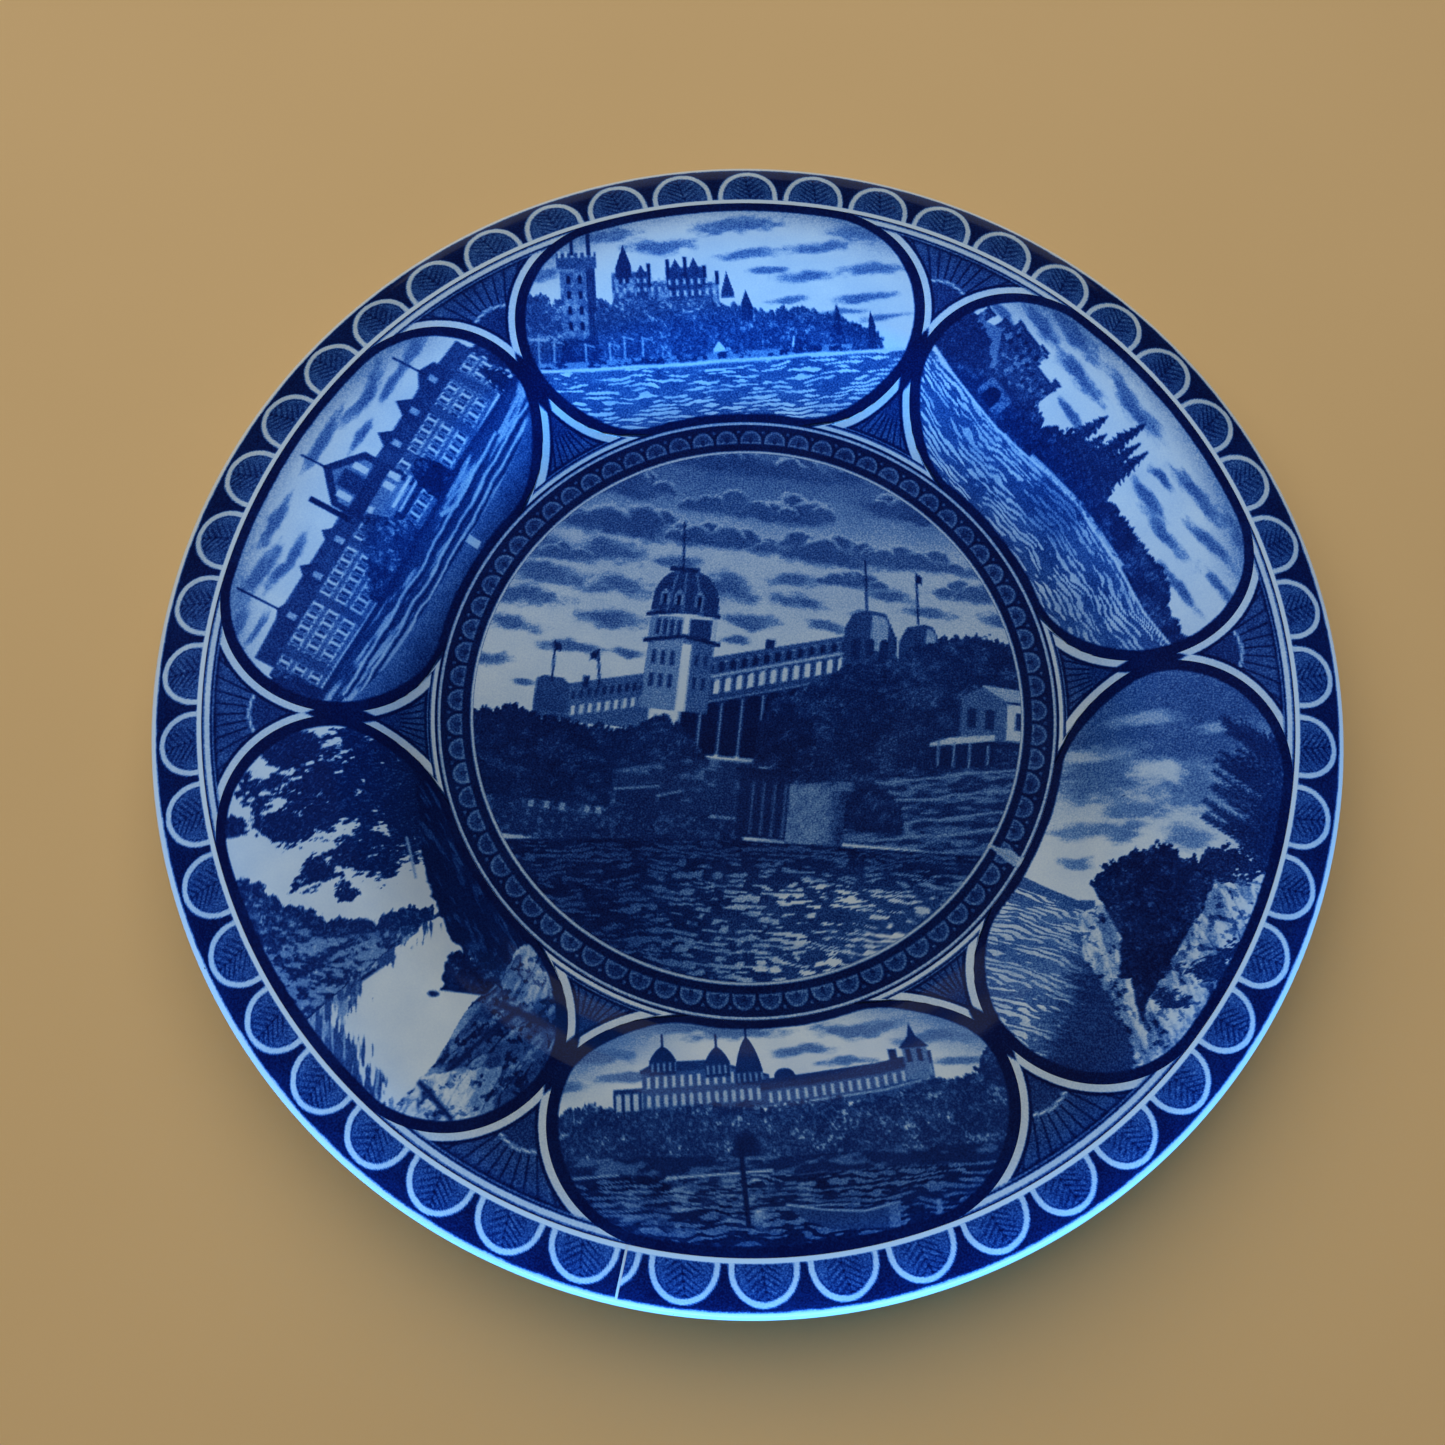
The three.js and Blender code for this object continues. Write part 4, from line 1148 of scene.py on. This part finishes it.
def print_finish(name, stipple):
    finish, tree, shader, place = new_finish(name)
    ink = tree.nodes.new("ShaderNodeAttribute")
    ink.attribute_name = "ink"
    colour = tree.nodes.new("ShaderNodeGroup")
    colour.node_tree = cobalt
    colour.inputs["Stipple"].default_value = stipple
    tree.links.new(ink.outputs["Fac"], colour.inputs["Ink"])
    tree.links.new(place, colour.inputs["Place"])
    tree.links.new(colour.outputs["Color"], shader.inputs["Base Color"])
    under_glaze(tree, shader, place)
    return finish


# %% [markdown]
# The bare ware under clear glaze is a cool white, a little greyer and bluer where the glaze is
# thick, with fine dark specks from the clay. The unglazed foot is matt biscuit: warmer, grainy,
# and stained grey-brown along the ring where the plate has stood on shelves.

# %% Glazed ware and bare biscuit
def ware_finish():
    finish, tree, shader, place = new_finish("clear_glaze_on_ware")
    tint = ramp_node(tree, noise_node(tree, place, 30, 3.0), (0.3, (0.60, 0.71, 0.80)),
                     (0.7, (0.70, 0.79, 0.86)))
    specks = tree.nodes.new("ShaderNodeTexVoronoi")
    specks.inputs["Scale"].default_value = 260
    tree.links.new(place, specks.inputs["Vector"])
    near = math_node(tree, "LESS_THAN", specks.outputs["Distance"], 0.07)
    rare = math_node(tree, "GREATER_THAN", noise_node(tree, place, 90, 1.0), 0.6)
    mix = tree.nodes.new("ShaderNodeMix")
    mix.data_type = "RGBA"
    mix.inputs[7].default_value = (0.16, 0.13, 0.12, 1)
    tree.links.new(math_node(tree, "MULTIPLY", near, rare), mix.inputs[0])
    tree.links.new(tint, mix.inputs[6])
    tree.links.new(mix.outputs[2], shader.inputs["Base Color"])
    under_glaze(tree, shader, place)
    return finish


def biscuit_finish():
    finish, tree, shader, place = new_finish("bare_biscuit")
    stain = noise_node(tree, place, 60, 5.0, 0.65)
    colour = ramp_node(tree, stain, (0.35, (0.33, 0.27, 0.20)), (0.5, (0.58, 0.50, 0.39)),
                       (0.75, (0.70, 0.63, 0.52)))
    grit = noise_node(tree, place, 1800, 3.0, 0.7)
    bump = tree.nodes.new("ShaderNodeBump")
    bump.inputs["Distance"].default_value = 0.00012
    tree.links.new(grit, bump.inputs["Height"])
    tree.links.new(bump.outputs["Normal"], shader.inputs["Normal"])
    tree.links.new(colour, shader.inputs["Base Color"])
    rough = ramp_node(tree, grit, (0.3, (0.7,) * 3), (0.8, (0.95,) * 3))
    tree.links.new(rough, shader.inputs["Roughness"])
    return finish


ware, biscuit = ware_finish(), biscuit_finish()
print("Finishes:", ware.name, biscuit.name)

# %% [markdown]
# ## The pottery
# A potter's profile tool cuts the section while the wheel turns, and spin does the same: the
# outline is drawn once as edges and swept round the axis. The ends of the sweep meet, so the
# doubles are merged, also where the outline touches the axis. Spinning can leave the skin
# inside out, so the normals are worked out afresh before the mesh is made.

# %% Turning a section
TURN_STEPS = 288


def turned(name, outline, finish, steps=TURN_STEPS):
    """Turns a closed outline of (radius, height) points, in mm, about the plate's axis."""
    bm = bmesh.new()
    corners = [bm.verts.new((r * MM, 0, z * MM)) for r, z in outline]
    loop = [bm.edges.new((a, b)) for a, b in zip(corners, corners[1:] + corners[:1])]
    bmesh.ops.spin(bm, geom=corners + loop, cent=(0, 0, 0), axis=(0, 0, 1), dvec=(0, 0, 0),
                   angle=2 * pi, steps=steps, use_merge=True)
    bmesh.ops.remove_doubles(bm, verts=bm.verts, dist=1e-6)
    bmesh.ops.delete(bm, geom=[e for e in bm.edges if not e.link_faces], context="EDGES")
    bmesh.ops.recalc_face_normals(bm, faces=bm.faces)
    return piece_from(bm, name, finish, 40)


def piece_from(bm, name, finish, sharp_angle):
    mesh = bpy.data.meshes.new(name)
    bm.to_mesh(mesh)
    bm.free()
    mesh.materials.append(finish)
    mesh.shade_smooth()
    mesh.set_sharp_from_angle(angle=radians(sharp_angle))
    piece = bpy.data.objects.new(name, mesh)
    bpy.context.scene.collection.objects.link(piece)
    return piece


def settle(piece, slot, *nodes):
    """Rides a finished piece on the plate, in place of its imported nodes."""
    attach(piece, "root")
    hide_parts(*nodes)
    triangles = sum(len(p.vertices) - 2 for p in piece.data.polygons)
    print(f"{piece.name}: {triangles} triangles in place of {', '.join(nodes)}")


# %% [markdown]
# The body is one closed section: the face, the rolled edge, the back and the foot ring. The
# glaze is a coat over it that stops on the sides of the foot, which is bare to stand on, with a
# disc of it inside the ring. On the real plate the transfers lie
# under the clear glaze. Here each print carries the glaze's shine in its own finish, so the
# prints lie at the surface, and the coat is sunk under them by a little more than their
# thickness. Both arrive at one smooth face.

# %% Body, glaze and foot
PRINT_THICKNESS = 0.1
PRINT_BED = 0.14            # how far the coat is sunk under the prints
SKIN_CLEARANCE = 0.05       # between the body and the coat

foot_side = 0.35            # bare clay at the bottom of the foot's sides


def section_of_body():
    foot = np.array([(foot_outer + foot_flare, foot_height), (foot_outer + 0.12, 0.25),
                     (foot_outer - 0.25, 0.0),
                     (foot_inner + 0.25, 0.0), (foot_inner - 0.12, 0.25),
                     (foot_inner - foot_flare, foot_height),
                     (0, foot_height)])
    return np.concatenate([face, back[1:], foot])


def section_of_coat():
    bed = np.where(skin[:, 0] < scallop_radius, PRINT_BED, 0.0)
    outer_face = skin - np.stack([0 * bed, bed], axis=1)
    body_side = joined(face, back)
    outer_back = beside(body_side, glaze_over)[len(face):]
    inner = beside(body_side, SKIN_CLEARANCE)
    hem = np.array([(foot_outer + 1.05, foot_height - 0.1), (foot_outer + 0.5, 0.45),
                    (foot_outer + 0.22, foot_side)])
    inner_hem = np.array([(foot_outer + 0.18, foot_side),
                          (foot_outer + foot_flare + SKIN_CLEARANCE, foot_height - 0.02)])
    return np.concatenate([outer_face, outer_back, hem, inner_hem, inner[::-1]])


def section_of_recess():
    top, surface = foot_height - SKIN_CLEARANCE, foot_height - glaze_over
    side = foot_inner - foot_flare
    return np.array([(0, surface), (side - 1.2, surface), (side - 0.5, surface - 0.15), (side + 0.25, 0.6),
                     (side + 0.5, foot_side), (side + 0.55, foot_side), (side - SKIN_CLEARANCE, top),
                     (0, top)])


body = turned("biscuit_body_turned", section_of_body(), biscuit)
settle(body, "biscuit", "biscuit_body")
coat = turned("glaze_over_face_and_back", section_of_coat(), ware)
settle(coat, "clear_glaze", "glaze_coat")
recess = turned("glaze_inside_foot_ring", section_of_recess(), ware)
settle(recess, "clear_glaze", "glaze_recess")

# %% [markdown]
# ## Laying the transfers
# A transfer is a thin sheet that takes the curve of the plate. Its top is a fine grid, because
# the ink is held by its vertices, and its underside is a coarse one. The two rims are bridged,
# so the sheet is closed. It is made flat, with u and v from -1 to 1, and a place function then
# says where each u and v lies on the plate. The paint function gives the ink there.
#
# The prints bring a UV map for the export's bake, called OFBake: the top of the sheet as seen
# from above, and its underside in a narrow strip at the side.

# %% A sheet laid on the face
SIDE_STRIP = 0.985


def grid_layer(bm, across, along, height):
    made = bmesh.ops.create_grid(bm, x_segments=across, y_segments=along, size=1.0,
                                 matrix=Matrix.Translation((0, 0, height)))
    return made["verts"]


def flat_sheet(bm, across, along, coarse_across, coarse_along, shift=0.0):
    """A closed sheet from u, v = -1 to 1, with its middle moved along by shift."""
    top = grid_layer(bm, across, along, 1.0)
    under = grid_layer(bm, coarse_across, coarse_along, 0.0)
    faces = {f for v in under for f in v.link_faces}
    bmesh.ops.reverse_faces(bm, faces=list(faces))
    rims = [e for v in top + under for e in v.link_edges if e.is_boundary]
    bmesh.ops.bridge_loops(bm, edges=list(dict.fromkeys(rims)))
    bmesh.ops.translate(bm, verts=top + under, vec=(shift, 0, 0))


def wrap_on_face(piece, place, paint):
    """Moves a flat sheet's points to their places on the plate and inks them."""
    mesh = piece.data
    flat = np.empty(len(mesh.vertices) * 3)
    mesh.vertices.foreach_get("co", flat)
    u, v, layer = flat.reshape(-1, 3).T
    x, y = place(u, v)
    z = height_at(np.hypot(x, y)) - (1 - layer) * PRINT_THICKNESS
    mesh.vertices.foreach_set("co", (np.stack([x, y, z], axis=1) * MM).ravel())
    ink = mesh.attributes.new("ink", "FLOAT", "POINT")
    ink.data.foreach_set("value", np.clip(paint(x, y), 0, 1).astype(np.float32))
    map_from_above(mesh, x, y, layer)
    mesh.update()


def map_from_above(mesh, x, y, layer):
    side = max(np.ptp(x), np.ptp(y))
    corners = np.empty(len(mesh.loops), np.int64)
    mesh.loops.foreach_get("vertex_index", corners)
    sizes, starts = np.empty(len(mesh.polygons), np.int64), np.empty(len(mesh.polygons), np.int64)
    mesh.polygons.foreach_get("loop_total", sizes)
    mesh.polygons.foreach_get("loop_start", starts)
    on_top = np.repeat(np.minimum.reduceat(layer[corners], starts) > 0.5, sizes)
    s = (x[corners] - x.min()) / side
    t = (y[corners] - y.min()) / side
    s = np.where(on_top, s * 0.98, SIDE_STRIP + s * (1 - SIDE_STRIP))
    uv_map = mesh.uv_layers.new(name="OFBake")
    uv_map.data.foreach_set("uv", np.stack([s, t * 0.98], axis=1).astype(np.float32).ravel())


def lay_print(name, grids, place, paint, stipple):
    """A printed transfer of one or more closed sheets. Each of grids is what flat_sheet takes."""
    bm = bmesh.new()
    for grid in grids:
        flat_sheet(bm, *grid)
    bmesh.ops.recalc_face_normals(bm, faces=bm.faces)
    piece = piece_from(bm, name, print_finish(name + "_ink", stipple), 60)
    wrap_on_face(piece, place, paint)
    return piece


# %% [markdown]
# The middle picture is a disc. A round grid that comes to a point in the middle would crowd its
# points there and starve the edge, so a square grid is pressed into a circle instead, which
# keeps its squares nearly even.

# %% The middle picture
def disc_place(u, v):
    x = u * np.sqrt(1 - v**2 / 2)
    y = v * np.sqrt(1 - u**2 / 2)
    radius = picture_radius - 0.65
    return radius * x, radius * y


picture = lay_print("shore_hotel_picture", [(298, 298, 50, 50)], disc_place, shore_hotel, 0.30)
settle(picture, "centre_picture_print", "centre_picture_print")

# %% [markdown]
# The six views share one shape. The rows of the grid lie closer together near the two long
# sides, where the outline turns fastest. A picture's own x and y are measured from a point in
# its middle, with its sky the way that the transfer was laid.

# %% The six framed views
PICTURE_MIDDLE = 92.0       # radius of the point that a view's marks are measured from


def view_place(angle):
    def place(u, v):
        rise = 0.45 * v + 0.55 * np.sin(v * pi / 2)
        turn = np.radians(angle + u * view_half_angle(rise))
        radius = view_radius(rise)
        return radius * np.cos(turn), radius * np.sin(turn)
    return place


def view_paint(angle, sky, picture_of):
    """sky is the direction of the picture's top, in degrees."""
    centre = PICTURE_MIDDLE * np.array([cos(radians(angle)), sin(radians(angle))])
    up = np.array([cos(radians(sky)), sin(radians(sky))])

    def paint(x, y):
        px, py = x - centre[0], y - centre[1]
        picture_ink = picture_of(px * up[1] - py * up[0], px * up[0] + py * up[1])
        turn = np.degrees(np.arctan2(y, x)) - angle
        turn = (turn + 180) % 360 - 180
        return framed(picture_ink, turn, np.hypot(x, y))
    return paint


VIEWS = [
    ("stone_house", stone_house, 40, 0.26),
    ("island_castle", island_castle, 100, 0.26),
    ("long_hotel", long_hotel, 160, 0.26),
    ("quiet_channel", quiet_channel, 90, 0.2),
    ("lake_hotel", lake_hotel, 100, 0.2),
    ("rocky_point", rocky_point, 90, 0.28),
]
for number, (angle, (title, picture_of, sky, stipple)) in enumerate(zip(VIEW_ANGLES, VIEWS), 1):
    view = lay_print(f"{title}_view", [(392, 198, 32, 16)], view_place(angle),
                     view_paint(angle, sky, picture_of), stipple)
    settle(view, f"view_print_{number}", f"view_print_{number}")

# %% [markdown]
# The fan ground fills what the views leave: six pieces, narrow where two views touch and wide
# at both ends. They are one transfer, so they are one object of six closed sheets. u runs from
# -1 to 1 across a piece, and the piece's number is added to it as a step of four.

# %% The fan ground
PIECE_STEP = 4


def fan_place(u, v):
    number = np.round(u / PIECE_STEP)
    rise = 0.75 * v + 0.25 * np.sin(v * pi / 2)
    half = VIEW_PITCH / 2 - view_half_angle(rise)
    turn = np.radians(VIEW_ANGLES[0] + VIEW_PITCH * (number + 0.5) + (u - PIECE_STEP * number) * half)
    radius = view_radius(rise)
    return radius * np.cos(turn), radius * np.sin(turn)


def fan_paint(x, y):
    turn = np.degrees(np.arctan2(y, x)) - VIEW_ANGLES[0]
    turn = turn % VIEW_PITCH - VIEW_PITCH / 2
    return fans(turn, np.hypot(x, y))


fan_grids = [(124, 108, 12, 18, PIECE_STEP * number) for number in range(len(VIEW_ANGLES))]
fan_ground = lay_print("fan_border", fan_grids, fan_place, fan_paint, 0.3)
settle(fan_ground, "fan_border_print", "fan_border_print")

# %% [markdown]
# The two ring strips start where their seams are and end just short of a full turn, so that a
# hair of ware shows between their ends.

# %% The ring strips
def strip_place(start, inner, outer, gap):
    def place(u, v):
        turn = np.radians(start) + (u + 1) / 2 * (2 * pi - gap / outer)
        radius = inner + (v + 1) / 2 * (outer - inner)
        return radius * np.cos(turn), radius * np.sin(turn)
    return place


def strip_paint(start, pattern):
    def paint(x, y):
        turn = np.degrees(np.arctan2(y, x))
        return pattern((turn - start + 0.01) % 360 + start - 0.01, np.hypot(x, y))
    return paint


scallop_band = lay_print("scallop_band", [(2560, 36, 400, 6)],
                         strip_place(STRIP_START, border_radius - 0.02, scallop_radius, 0.55),
                         strip_paint(STRIP_START, scallops), 0.3)
settle(scallop_band, "scallop_band_print", "scallop_band_print")
medallion_band = lay_print("medallion_band", [(1900, 36, 240, 4)],
                           strip_place(MEDALLION_START, picture_radius - 0.62,
                                       view_middle - view_down - 0.03, 0.08),
                           strip_paint(MEDALLION_START, medallions), 0.3)
settle(medallion_band, "medallion_band_print", "medallion_band_print")

# %% [markdown]
# ## Floor, light and camera
# The plate lies on a plain floor. A wide, deep blue light comes in low from the front, like a
# window at the edge of the table: it rakes the far wall of the well and leaves the near one in
# shade. It is kept off the floor, whose tan it would turn green. A weaker, warmer one hangs
# behind and above. It is hidden from reflections, where it would lie as a bright arc over the
# well. A faint glow behind stands for the wall of the room.

# %% The floor
def floor_finish():
    finish, tree, shader, place = new_finish("plain_floor")
    tone = noise_node(tree, place, 6, 3.0)
    colour = ramp_node(tree, tone, (0.3, (0.84, 0.60, 0.30)), (0.7, (0.88, 0.63, 0.32)))
    tree.links.new(colour, shader.inputs["Base Color"])
    shader.inputs["Roughness"].default_value = 0.7
    return finish


bm = bmesh.new()
bmesh.ops.create_grid(bm, x_segments=2, y_segments=2, size=3.0)
floor = piece_from(bm, "floor", floor_finish(), 60)

# %% Lights
def soft_light(name, azimuth, elevation, distance, size, power, colour):
    """A rectangular light that looks at the plate from a direction given in degrees."""
    lamp = bpy.data.lights.new(name, "AREA")
    lamp.shape = "RECTANGLE"
    lamp.size, lamp.size_y = size
    lamp.energy, lamp.color = power, colour
    light = bpy.data.objects.new(name, lamp)
    a, e = radians(azimuth), radians(elevation)
    light.location = distance * Vector((cos(a) * cos(e), sin(a) * cos(e), sin(e)))
    light.rotation_euler = light.location.to_track_quat("Z", "Y").to_euler()
    bpy.context.scene.collection.objects.link(light)
    return light


window_light = soft_light("window_light", 282, 6.5, 1.3, (1.6, 0.26), 66, (0.08, 0.47, 1.0))
soft_light("room_light", 120, 58, 1.9, (3.0, 2.2), 30, (1.0, 0.93, 0.84)).visible_glossy = False
soft_light("wall_glow", 95, 14, 1.6, (1.8, 0.7), 1.8, (0.9, 0.95, 1.0))
kept_from_window = bpy.data.collections.new("kept_from_window")
kept_from_window.objects.link(floor)
kept_from_window.collection_objects[0].light_linking.link_state = "EXCLUDE"
window_light.light_linking.receiver_collection = kept_from_window
world = bpy.data.worlds.new("room")
bpy.context.scene.world = world
world.use_nodes = True
world.node_tree.nodes["Background"].inputs["Color"].default_value = (0.9, 0.95, 1.0, 1)
world.node_tree.nodes["Background"].inputs["Strength"].default_value = 0.04
bpy.context.scene.view_settings.view_transform = "Standard"

# %% [markdown]
# The camera looks down steeply from the near side, close enough for the near rim to look larger
# than the far one. It aims at the middle of the plate's outermost circle, and then is turned a
# little: a roll, and a small pan that puts the plate off the middle of the view.

# %% The camera
CAMERA_DISTANCE = 306.8     # mm from the middle of the outermost circle
CAMERA_ELEVATION = 73.7
CAMERA_ROLL, CAMERA_YAW, CAMERA_PITCH = 5.857, 1.088, 1.503

lens = bpy.data.cameras.new("camera")
lens.sensor_width = 36.0
lens.lens = 35.63
camera = bpy.data.objects.new("camera", lens)
bpy.context.scene.collection.objects.link(camera)
elevation = radians(CAMERA_ELEVATION)
back_from_plate = Vector((0, -cos(elevation), sin(elevation)))
aim = Vector((0, 0, lip_height))
turned_by = (Matrix.Rotation(radians(90 - CAMERA_ELEVATION), 4, "X")
             @ Matrix.Rotation(radians(CAMERA_ROLL), 4, "Z")
             @ Matrix.Rotation(radians(CAMERA_YAW), 4, "Y")
             @ Matrix.Rotation(radians(-CAMERA_PITCH), 4, "X"))
camera.matrix_world = Matrix.Translation((aim + back_from_plate * CAMERA_DISTANCE) * MM) @ turned_by
bpy.context.scene.camera = camera
